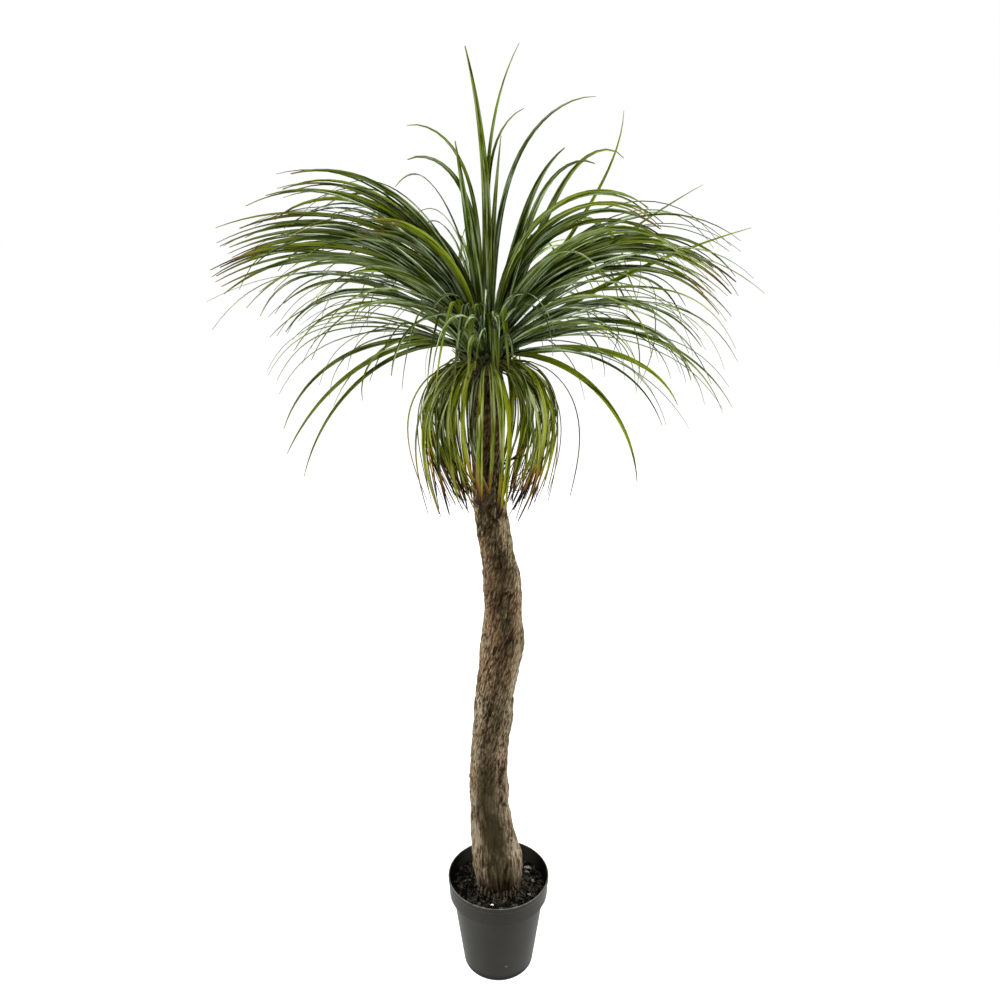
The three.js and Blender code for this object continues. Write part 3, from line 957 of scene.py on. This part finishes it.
def mix_shape():
    """A profile that stays clear of the pot, turned, with the top's rings set to mix_height."""
    side = np.array([
        [POT_FOOT_RADIUS - POT_INNER_ROUNDING - MIX_CLEAR, MIX_CLEAR],
        [POT_FOOT_RADIUS - MIX_CLEAR - TOUCH_GAP, POT_INNER_ROUNDING + TOUCH_GAP],
        [SHOULDER_RADIUS - MIX_CLEAR, SHOULDER_HEIGHT + POT_WALL + TOUCH_GAP],
        [MIX_EDGE_RADIUS, COLLAR_FOOT_HEIGHT + MIX_CLEAR],
        [MIX_EDGE_RADIUS, MIX_EDGE_HEIGHT - 2],
    ])
    top = stacked(np.linspace(MIX_EDGE_RADIUS, MIX_HOLE_RADIUS, MIX_TOP_RINGS), 0)
    well = np.array([[MIX_HOLE_RADIUS, MIX_HOLE_FLOOR], [NEAR_AXIS, MIX_HOLE_FLOOR]])
    rings = turned(np.concatenate([side, top, well]), MIX_COLUMNS)
    surface = rings[len(side):len(side) + len(top)]
    surface[..., 2] = mix_height(surface[..., 0], surface[..., 1])
    return skin(rings)


def lumps(places, sizes, seed, flat=0.7, rings=4, columns=6):
    """Small closed crumbs: spheres of a few faces whose points are pushed in and out at random."""
    random = np.random.default_rng(seed)
    count = len(places)
    up = np.linspace(0, np.pi, rings + 2)[1:-1][:, None]
    round_it = np.arange(columns) / columns * FULL_TURN
    unit = stacked(np.sin(up) * np.cos(round_it), np.sin(up) * np.sin(round_it), -np.cos(up))
    unit = np.concatenate([unit.reshape(-1, 3), [[0, 0, -1], [0, 0, 1]]])
    push = random.uniform(*CRUMB_PUSH, (count, len(unit), 1))
    stretch = random.uniform([0.7, 0.5, 0.6 * flat], [1.5, 1.0, flat], (count, 3))[:, None]
    shaped = unit * push * stretch * np.asarray(sizes)[:, None, None]
    turn = random.uniform(0, FULL_TURN, count)
    tilt = random.normal(0, CRUMB_TILT, count)
    points = rotated(rotated(shaped, tilt, 0, 2), turn, 0, 1) + places[:, None]
    first = np.arange(columns)
    caps = [fan(first, len(unit) - 2, False)]
    caps += [fan(first + (rings - 1) * columns, len(unit) - 1, True)]
    all_points, quads = repeated(points, grid_quads(rings, columns))
    return all_points, quads + repeated(points, np.concatenate(caps))[1]


def rotated(points, angles, first, second):
    """Points (count, n, 3) turned by an angle each in the plane of two axes."""
    turned_points = points.copy()
    c, s = np.cos(angles)[:, None], np.sin(angles)[:, None]
    turned_points[..., first] = c * points[..., first] - s * points[..., second]
    turned_points[..., second] = s * points[..., first] + c * points[..., second]
    return turned_points


def crumb_places(count, seed):
    """Places strewn evenly over the mix: the square of the radius is drawn, and the angle."""
    random = np.random.default_rng(seed)
    inner, outer = CRUMB_CIRCLES
    radius = np.sqrt(random.uniform(inner ** 2, outer ** 2, count))
    angle = random.uniform(0, FULL_TURN, count)
    return on_mix(radius * np.cos(angle), radius * np.sin(angle))


def bark_relief(angle, height):
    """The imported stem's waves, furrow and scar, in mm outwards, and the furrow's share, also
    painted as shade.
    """
    waves = sum(
        depth * np.cos(ridges * angle + height / climb + wander * np.sin(height / wander_height))
        for depth, ridges, climb, wander, wander_height in BARK_WAVES
    )

    def beside(azimuth):
        turn = angle - np.radians(azimuth)
        return bump(np.degrees(np.arctan2(np.sin(turn), np.cos(turn))), FURROW_WIDTH)

    furrow = beside(FRONT) * bump(height - FURROW_MIDDLE, FURROW_HALF_LENGTH)
    scar = beside(SCAR_AZIMUTH) * bump(height - SCAR_HEIGHT, SCAR_HALF_HEIGHT)
    return waves - FURROW_DEPTH * furrow - SCAR_DEPTH * scar, furrow


def round_noise(angle, height, around, tall, seed):
    """Lattice noise wrapped round the stem: so many places round it, each so many mm tall."""
    return lattice_noise(angle / FULL_TURN * around, height / tall, around, seed)


def patches(angle, height, seed, gain, start, least):
    """Patches round the stem: the gain times what the noise has above start, from least to 1."""
    return np.clip(gain * (round_noise(angle, height, *PATCH_SIZE, seed) - start), least, 1)


def bark_cracks(angle, height):
    """Cracks lie where wandering lattice noise is near a half: a bump of the distance to it."""
    low, high = CRACKED_FOOT
    risen = eased((height - low) / (high - low))
    rough = patches(angle, height, *CRACK_PATCHES)
    wander = CRACK_WANDER * (round_noise(angle, height, *CRACK_WANDER_NOISE) - 0.5)
    lean = CRACK_LEAN * np.maximum(height - low, 0)
    total = np.zeros_like(angle)
    for around, tall, depth, width, at_foot, above_it, seed in BARK_CRACKS:
        across = (angle / FULL_TURN + wander - lean) * around
        noise = lattice_noise(across, height / tall, around, seed)
        total += depth * bump(2 * noise - 1, width) * between(at_foot, above_it, risen)
    return total * rough


def knot(angle, height):
    """The knot where a branch grew over: 0 at its middle, 1 on its rim."""
    across = (angle - np.radians(SCAR_AZIMUTH)) * KNOT_REACH[0] / KNOT_HALF_WIDTH
    return np.hypot(across, (height - SCAR_HEIGHT) / KNOT_REACH[1])


def painted_shade_band(angle, height, share):
    """Painted shade in a band that sways up the front: a bump round the stem, broken into patches.
    """
    beside = np.degrees(angle) - FRONT - SHADE_BAND_SWAY * np.sin(height / SHADE_BAND_SWAY_HEIGHT)
    beside = beside - SHADE_BAND_LOW_SHIFT * bump(height - SHADE_BAND_LOW_HEIGHT, SHADE_BAND_LOW_REACH)
    band = np.clip(SHADE_BAND_STRENGTH * bump(beside, SHADE_BAND_WIDTH), 0, 1)
    band = band * patches(angle, height, *SHADE_BAND_PATCHES)
    return band * np.minimum(1, 1.1 - 0.45 * share)


def stem_shape():
    """Level rings up the stem's course, each point pushed out or in by the bark.

    With it come the facts that the bark's finish reads at each point: how little it is cut in,
    how much painted shade it takes (up the front, in the furrow and in the knot's hollow), and its
    share of the height.
    """
    foot = STEM_STATIONS[0, 0]
    bottom = MIX_HOLE_FLOOR + TOUCH_GAP
    heights = np.concatenate([[bottom, foot - 4], np.linspace(foot, STEM_TOP, STEM_ROWS)])
    course = smooth_course(np.maximum(heights, foot), STEM_STATIONS)
    share = np.clip((heights - foot) / (STEM_TOP - foot), 0, 1)[:, None]
    around = np.arange(STEM_COLUMNS) / STEM_COLUMNS * FULL_TURN
    angle, height = np.broadcast_arrays(around, heights[:, None])
    waves, furrow = bark_relief(angle, height)
    cracks = bark_cracks(angle, height)
    ends = np.clip(np.minimum(height - foot, STEM_TOP - height) / STEM_PLAIN_END, 0, 1)
    grooves = eased(2 * round_noise(angle, height, *FOOT_GROOVES) - 0.7)
    grooves = FOOT_GROOVE_DEPTH * grooves * bump(height - foot, FOOT_GROOVE_REACH)
    bosses = sum(
        reach * (round_noise(angle, height, around, tall, seed) - 0.5)
        for around, tall, reach, seed in BARK_BOSSES
    )
    rim = bump(knot(angle, height) - 1, KNOT_GROOVE_WIDTH)
    cut_in = 1.0 - cracks - grooves - KNOT_GROOVE * rim
    radius = course[:, 1:] + ends * (waves + bosses) + np.clip(ends * 4, 0, 1) * cut_in
    x = course[:, :1] + radius * np.cos(angle)
    y = STEM_SWAY * np.sin(share * FULL_TURN) + radius * np.sin(angle)
    rings = stacked(x, y, height)
    relief = np.clip(1.0 - cracks / 2.7 - grooves / 2.5 - 2 * rim, 0, 1)
    # Painted shade in the knot's hollow, darkest at its middle
    shade, reach = KNOT_SHADE
    hollow_shade = shade * bump(knot(angle, height), reach)
    # Painted shade: the band up the front, the furrow and the knot's hollow
    dark = np.maximum(painted_shade_band(angle, height, share), np.clip(furrow, 0, 1))
    dark = np.maximum(dark, hollow_shade)
    facts = stacked(relief, dark, share)
    return skin(rings), np.concatenate([facts.reshape(-1, 3), np.zeros((2, 3))])


def blade_width(share, blunt):
    """Width as a share of the widest: grown by WIDEST_AT, then tapering to a thread.

    A blunter blade keeps its width for longer and ends in a wider thread.
    """
    opening = np.clip(share / WIDEST_AT, 0, 1)
    grown = between(ROOT_SHARE, 1, opening * (2 - opening))
    gone = np.clip((share - TAPER_FROM) / (1 - TAPER_FROM), 0, 1) ** (TAPER_POWER + blunt)
    return grown * between(1, THREAD_SHARE * (1 + 2 * blunt), gone)


def blade_rings(leaf):
    """Rings of four points down every blade: its two edges, its channel and its keel.

    The blade sets off at its rise and bows by droop · (1 - (1 - share ** power) ** settle),
    by its fall eased in over its outer part, and by its kink within a short stretch; its
    azimuth bends by bend · share²; and it turns on its own length by turn + twist · share.
    """
    share = np.arange(BLADE_STEPS + 1) / BLADE_STEPS
    column = {label: np.asarray(values, float)[:, None] for label, values in leaf.items()
              if label != "root"}
    fold = column["kink"] * eased((share - column["kink_at"]) / KINK_REACH)
    fold = fold + column["fall"] * eased((share - FALL_FROM) / (1 - FALL_FROM))
    bowed = 1 - (1 - share ** column["power"]) ** column["settle"]
    angle = np.radians(column["rise"] - column["droop"] * bowed - fold)
    azimuth = np.radians(column["azimuth"] + column["bend"] * share ** 2)
    level = np.cos(angle)
    along = stacked(level * np.cos(azimuth), level * np.sin(azimuth), np.sin(angle))
    steps = (along[:, 1:] + along[:, :-1]) / 2 * column["length"][..., None] / BLADE_STEPS
    spot = np.concatenate([np.zeros_like(steps[:, :1]), np.cumsum(steps, axis=1)], axis=1)
    spot = spot + leaf["root"][:, None]
    aside = stacked(-np.sin(azimuth), np.cos(azimuth), 0)
    turn = np.radians(column["turn"] + column["twist"] * share)[..., None]
    across = np.cos(turn) * aside + np.sin(turn) * np.cross(along, aside)
    under = np.cross(across, along)
    width = (column["width"] * blade_width(share, column["blunt"]))[..., None]
    thickness = between(*BLADE_THICKNESS, share)[None, :, None]
    channel = CHANNEL_SHARE * width
    rings = np.stack([
        spot + across * width / 2,
        spot + under * channel,
        spot - across * width / 2,
        spot + under * (channel + thickness),
    ], axis=2)
    return rings[:, BLADE_RINGS], width[:, BLADE_RINGS, 0], share[BLADE_RINGS]


def blades_piece(name, leaf, finish, replaces=()):
    """All of a bunch's blades as one mesh, their long edges sharp."""
    leaf = filled(leaf)
    rings, width, share = blade_rings(leaf)
    count, rows = rings.shape[:2]
    cap = np.array([[3, 2, 1, 0], [rows * 4 - 4, rows * 4 - 3, rows * 4 - 2, rows * 4 - 1]])
    faces = np.concatenate([grid_quads(rows, 4), cap])
    across = width[..., None] * np.array([0.5, 0, -0.5, 0])
    share = share[:, None] + 0 * across
    facts = (leaf["length"], np.arange(count), leaf["yellowness"], leaf["dryness"])
    length, number, yellowness, dryness = (values[:, None, None] for values in facts)
    attributes = {
        "blade": stacked(length * share, across, number * LEAF_NUMBER_STEP),
        "tint": stacked(yellowness, dryness, share),
    }
    shape = repeated(rings.reshape(count, -1, 3), faces)
    mesh = add_piece(name, shape, finish, replaces, attributes).data
    ends = np.empty(len(mesh.edges) * 2, np.int32)
    mesh.edges.foreach_get("vertices", ends)
    roles = ends.reshape(-1, 2) % 4
    sharp = (roles[:, 0] == roles[:, 1]) & (roles[:, 0] % 2 == 0)
    layer = mesh.attributes.new("sharp_edge", "BOOLEAN", "EDGE")
    layer.data.foreach_set("value", sharp)


def root_at(azimuth, radius, lift):
    """Where leaves start: so far out from the crown's middle along their azimuth, and lifted."""
    azimuth = np.radians(azimuth)
    return CROWN + stacked(radius * np.cos(azimuth), radius * np.sin(azimuth), lift)


def as_arrays(leaves):
    """A list of leaves, each a dict, as one dict of arrays."""
    return {label: np.array([leaf[label] for leaf in leaves]) for label in leaves[0]}


def frontness(azimuth):
    """1 straight at the viewer, 0 at the flanks, -1 straight away."""
    return np.cos(np.radians(azimuth - FRONT))


def in_front(leaf):
    """How much each leaf of a bunch faces the viewer, 0 for all that lean away."""
    return np.clip(frontness(leaf["azimuth"]), 0, 1)


def crown_leaves(rule, count, seed, widths):
    """Leaves scattered by the golden angle, steep and long within, low and shorter without.

    Some hang lower, and the few that are kept in front are short and folded over.
    """
    rule = SimpleNamespace(**rule)
    front = np.cos(np.radians(rule.front_half_angle))
    draw = Draws(seed)
    leaves = []
    for i in range(count):
        out = (i + 0.5) / count
        azimuth = i * GOLDEN_ANGLE + draw.within(9)
        right = np.cos(np.radians(azimuth))
        hangs = i % rule.hanging_one_in == rule.hanging_one_in - 1
        folds = frontness(azimuth) > front
        rise = between(*rule.rise, out) + draw.within(rule.rise_spread)
        rise -= rule.right_rise_fall * right + rule.hanging_rise_fall * hangs
        rise += rule.front_lift * folds
        rise -= rule.facing_rise_fall * abs(frontness(azimuth)) * (1 - out)
        tip = between(*rule.tip, out) + draw.within(rule.tip_spread)
        tip -= rule.right_tip_fall * right + rule.hanging_tip_fall * hangs
        tip -= rule.front_tip_fall * folds
        power = draw(*rule.power)
        length = between(*rule.length, out ** 1.5) * draw(*rule.length_spread)
        length *= rule.hanging_length if hangs else 1
        shortening = 1 - rule.front_shortening * max(0, frontness(azimuth)) ** 2
        leaves.append({
            "azimuth": azimuth,
            "rise": rise,
            "droop": rise - tip,
            "power": power,
            "length": length * (rule.front_length if folds else shortening),
            "bend": draw.within(rule.side_bend),
            "turn": draw.within(rule.turn),
            "twist": draw.within(rule.twist),
            "width": draw(*widths),
            "root": root_at(azimuth, between(*CROWN_ROOT_RADIUS, out ** 0.5),
                            CROWN_ROOT_LIFT * (1 - out) - CROWN_ROOT_DROP),
        })
    leaf = as_arrays(leaves)
    thinned = np.arange(count) % rule.front_keeps_one_in == 0
    return chosen(leaf, (frontness(leaf["azimuth"]) <= front) | thinned)


def sprays(seed):
    """Leaves of nearly one bow beside each other, so that their tips come together."""
    rule = SimpleNamespace(**SPRAY_RULE)
    random = np.random.default_rng(seed)
    bunches = []
    for azimuth, spread, rise, tip, power, length, count in SPRAYS:
        azimuths = azimuth + random.uniform(-spread, spread, count)
        rises = rise + random.uniform(-rule.rise, rule.rise, count)
        bunches.append({
            "azimuth": azimuths,
            "rise": rises,
            "droop": rises - tip + random.uniform(-rule.droop, rule.droop, count),
            "power": power * random.uniform(*rule.power, count),
            "length": length * random.uniform(*rule.length, count),
            "bend": random.uniform(-rule.bend, rule.bend, count),
            "turn": OUTLINE_TURN + random.uniform(-rule.turn, rule.turn, count),
            "twist": random.uniform(-rule.twist, rule.twist, count),
            "width": random.uniform(*rule.width, count),
            "root": root_at(azimuths, *rule.root),
        })
    return together(*bunches)


def tabled(labels, table):
    """The columns of a table under their labels."""
    return dict(zip(labels.split(), table.T))


def folded_leaves():
    """The short leaves in front of the neck, each folded sharply over."""
    leaf = tabled("azimuth rise droop length width kink_at kink yellowness", FOLDED_LEAVES)
    root = root_at(leaf["azimuth"], *FOLDED_ROOT)
    return {**leaf, "turn": FOLDED_TURN, "twist": FOLDED_TWIST, "root": root}


def outline_leaves():
    """The listed leaves: the steeper they are, the nearer the middle and the higher."""
    leaf = tabled("azimuth rise droop power length width yellowness", OUTLINE_LEAVES)
    steepness = leaf["rise"] / 90
    radius = between(*OUTLINE_ROOT_RADIUS, steepness)
    root = root_at(leaf["azimuth"], radius, between(*OUTLINE_ROOT_LIFT, steepness))
    return {**leaf, "turn": OUTLINE_TURN, "root": root}


def hanging_leaves(count, seed, widths):
    """Old leaves that set off outwards, turn down early in a bell and then come in a little."""
    rule = SimpleNamespace(**BELL_RULE)
    draw = Draws(seed)
    leaves = []
    for i in range(count):
        down = (i + 0.5) / count
        azimuth = i * GOLDEN_ANGLE + draw.within(8)
        rise = between(*rule.rise, down) + draw.within(rule.rise_spread)
        inness = draw(0, 1)
        past = rule.past_vertical + rule.inner_past_vertical * inness
        leaves.append({
            "azimuth": azimuth,
            "rise": rise,
            "settle": rule.settle + rule.inner_settle * inness,
            "length": draw(*rule.length) * (1 - rule.inner_shortening * inness),
            "droop": rise + past + draw.within(rule.past_spread),
            "bend": draw.within(rule.side_bend),
            "turn": draw.within(rule.turn),
            "twist": draw.within(rule.twist),
            "width": draw(*widths),
            "root": root_at(azimuth, rule.root_radius, -between(*rule.root_drop, down)),
        })
    leaf = as_arrays(leaves)
    beside = frontness(leaf["azimuth"]) < np.cos(np.radians(rule.front_half_angle))
    return chosen(leaf, beside | (np.arange(count) % rule.front_keeps_one_in == 0))


def chosen(leaf, keep):
    """The leaves of a bunch that are kept."""
    return {label: values[keep] for label, values in leaf.items()}


def together(*bunches):
    """Bunches with the same labels as one."""
    return {label: np.concatenate([bunch[label] for bunch in bunches]) for label in bunches[0]}


def filled(leaf):
    """The leaves with a plain one's values for all that their bunch doesn't say, as arrays."""
    count = len(leaf["azimuth"])
    return {label: value if np.ndim(value) else np.full(count, value, float)
            for label, value in {**PLAIN_LEAF, **leaf}.items()}


def coloured(leaf, seed, yellow, dry, kinked=0.0, blunt=0.4, fall=(0, 0)):
    """Draws each leaf's yellowness, dryness and fall and, on a few, a fold near the tip.

    What the bunch says itself stays.
    """
    random = np.random.default_rng(seed)
    count = len(leaf["azimuth"])
    drawn = {
        "yellowness": np.clip(random.normal(*yellow, count), 0, 1),
        "dryness": np.clip(random.normal(*dry, count), 0, 0.5),
        "blunt": blunt,
    }
    folds = random.random(count) < kinked
    drawn["kink"] = np.where(folds, random.uniform(*KINK_ANGLES, count), 0)
    drawn["kink_at"] = random.uniform(*KINK_PLACES, count)
    drawn["fall"] = random.uniform(*fall, count)
    return filled({**drawn, **leaf})


def inside_box(leaf, room=2.0):
    """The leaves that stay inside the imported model's box and under the crown's outline."""
    rings = blade_rings(leaf)[0]
    low, high = (np.array(corner) / MM for corner in cad_box)
    fits = ((rings > low - room) & (rings < high + room)).all(axis=(1, 2, 3))
    under = rings[..., 2] < np.interp(rings[..., 0], *CROWN_ROOF.T)
    return chosen(leaf, fits & under.all(axis=(1, 2)))


def short_leaves(count, seed, radius, lift, length, width, rise, droop):
    """Leaf bases in overlapping rounds: short, broad and close to the core."""
    random = np.random.default_rng(seed)
    share = (np.arange(count) + 0.5) / count
    azimuth = np.arange(count) * GOLDEN_ANGLE
    spread = random.uniform(0.85, 1.15, (4, count))
    return filled({
        "azimuth": azimuth,
        "rise": between(*rise, share) * spread[0],
        "droop": droop * spread[1],
        "power": 1.2,
        "length": between(*length, share) * spread[2],
        "turn": random.uniform(-12, 12, count),
        "width": width * spread[3],
        "root": root_at(azimuth, between(*radius, share), between(*lift, share)),
    })


def core_shape():
    """The heads that the leaves stand on, hidden among their bases: a turned profile."""
    profile = softened(CORE_PROFILE, CORE_CORNER_BOW)
    return skin(turned(profile, CORE_COLUMNS) + CROWN * [1, 1, 0])


def fibres(seed):
    """Frayed bark at the stem's foot: slivers that stand against it and splay a little."""
    random = np.random.default_rng(seed)
    count = FIBRE_COUNT
    azimuth = np.degrees(np.arange(count) / count * FULL_TURN) + random.uniform(-4, 4, count)
    height = random.uniform(*FIBRE_HEIGHTS, count)
    course = smooth_course(np.maximum(height, STEM_STATIONS[0, 0]), STEM_STATIONS)
    x = course[:, 0] + (course[:, 1] + FIBRE_GAP) * np.cos(np.radians(azimuth))
    y = (course[:, 1] + FIBRE_GAP) * np.sin(np.radians(azimuth))
    return {
        "azimuth": azimuth,
        "rise": -90 + random.uniform(0, 14, count),
        "droop": -random.uniform(0, 35, count),
        "power": 1.5,
        "length": np.minimum(height - FIBRE_LOWEST, random.uniform(*FIBRE_LENGTHS, count)),
        "turn": random.uniform(-20, 20, count),
        "width": random.uniform(*FIBRE_WIDTHS, count),
        "root": stacked(x, y, height),
    }


def build_pot():
    pot = add_piece("turned_pot", pot_shape(), pot_finish(), ("pot",))
    with_drain_holes(pot)


def build_mix():
    """The surface, and lumps of three sizes strewn on it."""
    peat = mix_finish("damp_peat", (0.0006, 0.0005, 0.0003), (0.012, 0.010, 0.007), 0.05)
    clods = mix_finish("peat_clods", (0.0008, 0.0007, 0.0003), (0.150, 0.138, 0.100), 0.06)
    chips = mix_finish("bark_chips", (0.004, 0.003, 0.002), (0.190, 0.155, 0.110), 0.08)
    add_piece("peat_surface", mix_shape(), peat, ("potting_mix",))
    for i, (finish, strewn) in enumerate(zip((peat, clods, chips), STREWN)):
        name, count, sizes, flat = strewn
        sizes = np.random.default_rng(40 + i).uniform(*sizes, count)
        shape = lumps(crumb_places(count, 50 + i), sizes, 60 + i, flat)
        add_piece(name, shape, finish, smooth=False)


def build_specks():
    """One white grain in front of the stem, and curled pale shreds of bark beside it."""
    white = speck_finish("white_grain", (0.85, 0.85, 0.82), (0.55, 0.53, 0.48))
    place = on_mix(*WHITE_GRAIN_PLACE, SPECK_LIFT)[None]
    grain = lumps(place, [WHITE_GRAIN_SIZE], seed=51, flat=0.9, rings=6, columns=10)
    add_piece("perlite_grain", grain, white)
    pale = fibre_finish("pale_shred", (0.10, 0.08, 0.065), (0.36, 0.31, 0.27), 0)
    curled = tabled("x y azimuth rise droop length width", CURLED_SHREDS)
    curled["root"] = on_mix(curled.pop("x"), curled.pop("y"), SPECK_LIFT)
    curled |= {"turn": 10, "twist": 25, "blunt": 3}
    blades_piece("bark_shreds", curled, pale)


def build_stem():
    bark = bark_finish()
    shape, facts = stem_shape()
    add_piece("bark_stem", shape, bark, ("trunk",), {"bark": facts})
    frayed = fibre_finish("frayed_bark", (0.012, 0.008, 0.004), (0.120, 0.095, 0.060), 0)
    blades_piece("frayed_bark", fibres(61), frayed)


def build_leaves():
    green = leaf_finish(
        "crown_leaf",
        deep=(0.006, 0.013, 0.001),
        fresh=(0.056, 0.090, 0.008),
        yellow=(0.160, 0.205, 0.006),
        bloom_and_sheen=(0.350, 0.420, 0.260),
        tip=(0.170, 0.125, 0.032),
        burnt=(0.045, 0.026, 0.012),
    )
    old = leaf_finish(
        "old_leaf",
        deep=(0.010, 0.017, 0.001),
        fresh=(0.080, 0.112, 0.004),
        yellow=(0.240, 0.275, 0.006),
        bloom_and_sheen=(0.420, 0.460, 0.240),
        tip=(0.220, 0.095, 0.009),
        burnt=(0.010, 0.006, 0.004),
    )
    build_crown(green)
    build_skirt(old)
    build_neck()


def build_crown(finish):
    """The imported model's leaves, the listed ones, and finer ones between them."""
    packed = crown_leaves(CROWN_RULE, count=144, seed=7, widths=(7, 12))
    packed["width"] *= np.interp(packed["rise"], *CROWN_WIDTHS)
    packed = coloured(packed, 71, yellow=(0.22, 0.25), dry=(0.04, 0.04), fall=CROWN_FALL)
    outline = coloured(outline_leaves(), 72, yellow=(0.3, 0.2), dry=(0.04, 0.03))
    leaf = together(packed, outline)
    blades_piece("crown_blades", leaf, finish, ("crown_leaves",))
    fine = crown_leaves(FINE_RULE, count=260, seed=23, widths=(4, 9))
    fine["width"] *= np.interp(fine["rise"], *FINE_WIDTHS)
    kept = np.arange(len(fine["rise"])) % FINE_LOW_ONE_IN == 0
    fine = chosen(fine, (fine["rise"] > FINE_HIGH_RISE) | kept)
    fine = coloured(
        fine, 73, yellow=(0.36, 0.3), dry=(0.07, 0.06), kinked=0.14, blunt=0.8, fall=CROWN_FALL
    )
    fine["yellowness"] *= 1 - FRONT_GREENER * in_front(fine)
    spread = coloured(
        sprays(76), 77, yellow=(0.4, 0.3), dry=(0.12, 0.05), kinked=0.05, blunt=0.8, fall=(0, 8)
    )
    folded = coloured(folded_leaves(), 78, yellow=(0.3, 0.2), dry=(0.05, 0.04))
    leaf = together(inside_box(fine), inside_box(spread), folded)
    blades_piece("fine_crown_blades", leaf, finish)


def build_skirt(finish):
    """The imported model's hanging leaves, and thinner ones that start higher in front."""
    hanging = hanging_leaves(count=62, seed=11, widths=(4, 7))
    hanging = coloured(hanging, 74, yellow=(0.5, 0.28), dry=(0.25, 0.08), blunt=2)
    blades_piece("hanging_blades", hanging, finish, ("hanging_leaves",))
    thin = hanging_leaves(count=130, seed=31, widths=(2.8, 5))
    thin = coloured(thin, 75, yellow=(0.55, 0.28), dry=(0.26, 0.09), kinked=0.06, blunt=2)
    thin["root"][:, 2] += THIN_FRONT_LIFT * in_front(thin)
    thin["width"] *= 1 + THIN_FRONT_GAIN * in_front(thin) ** 4
    blades_piece("thin_hanging_blades", inside_box(thin), finish)


def build_neck():
    """Upright and splayed old bases round the heads that the leaves stand on."""
    upright = short_leaves(
        84, 81, radius=(20, 15), lift=(-24, 10), length=(40, 74), width=15, rise=(80, 66), droop=26
    )
    splayed = short_leaves(
        40, 82, radius=(25, 21), lift=(-25, -8), length=(28, 36), width=15, rise=(62, 44), droop=14
    )
    sheath = fibre_finish("leaf_base", (0.016, 0.009, 0.004), (0.120, 0.060, 0.026), 0.6)
    blades_piece("leaf_bases", together(upright, splayed), sheath)
    heads = speck_finish("leaf_head", (0.050, 0.045, 0.020), (0.020, 0.014, 0.008))
    add_piece("leaf_heads", core_shape(), heads)


def build_camera():
    data = bpy.data.cameras.new("photo_camera")
    data.sensor_width = SENSOR_WIDTH
    data.lens = FOCAL_PIXELS / PHOTO_SIZE * SENSOR_WIDTH
    data.clip_end = VIEW_REACH
    camera = linked("photo_camera", data)
    camera.location = CAMERA_PLACE
    camera.rotation_euler = (np.radians(90 - CAMERA_PITCH), 0, 0)
    bpy.context.scene.camera = camera


def add_light(name, place, aim, size, power):
    data = bpy.data.lights.new(name, "AREA")
    data.shape = "RECTANGLE"
    data.size, data.size_y = size
    data.energy = power
    light = linked(name, data)
    light.location = place
    away = Vector(place) - Vector(aim)
    light.rotation_euler = away.to_track_quat("Z", "Y").to_euler()


def build_studio():
    """A wide white floor in a white surround, a soft box at each side and one above."""
    floor_finish = Finish("pale_floor", roughness=0.9, specular=0.1)
    floor_finish.set("Base Color", (0.4, 0.4, 0.4, 1.0))
    floor_finish.set("Emission Color", (1.0, 1.0, 1.0, 1.0))
    floor_finish.set("Emission Strength", FLOOR_GLOW)
    mesh = bpy.data.meshes.new("floor")
    sides = [(-1, -1), (1, -1), (1, 1), (-1, 1)]
    corners = [(x * FLOOR_REACH, y * FLOOR_REACH, 0) for x, y in sides]
    mesh.from_pydata(corners, [], [(0, 1, 2, 3)])
    mesh.materials.append(floor_finish.material)
    linked("floor", mesh)
    world = bpy.data.worlds.new("white_surround")
    world.use_nodes = True
    graph = Graph(world.node_tree)
    seen = graph.node("LightPath", output="Is Camera Ray")
    background = world.node_tree.nodes["Background"]
    background.inputs["Color"].default_value = (1, 1, 1, 1)
    graph.feed(background.inputs["Strength"], between(SURROUND_LIGHT, 1.0, seen))
    bpy.context.scene.world = world
    for soft_box in SOFT_BOXES:
        add_light(*soft_box)
    bpy.context.scene.view_settings.view_transform = "Standard"


build_camera()
build_studio()
build_pot()
build_mix()
build_specks()
build_stem()
build_leaves()
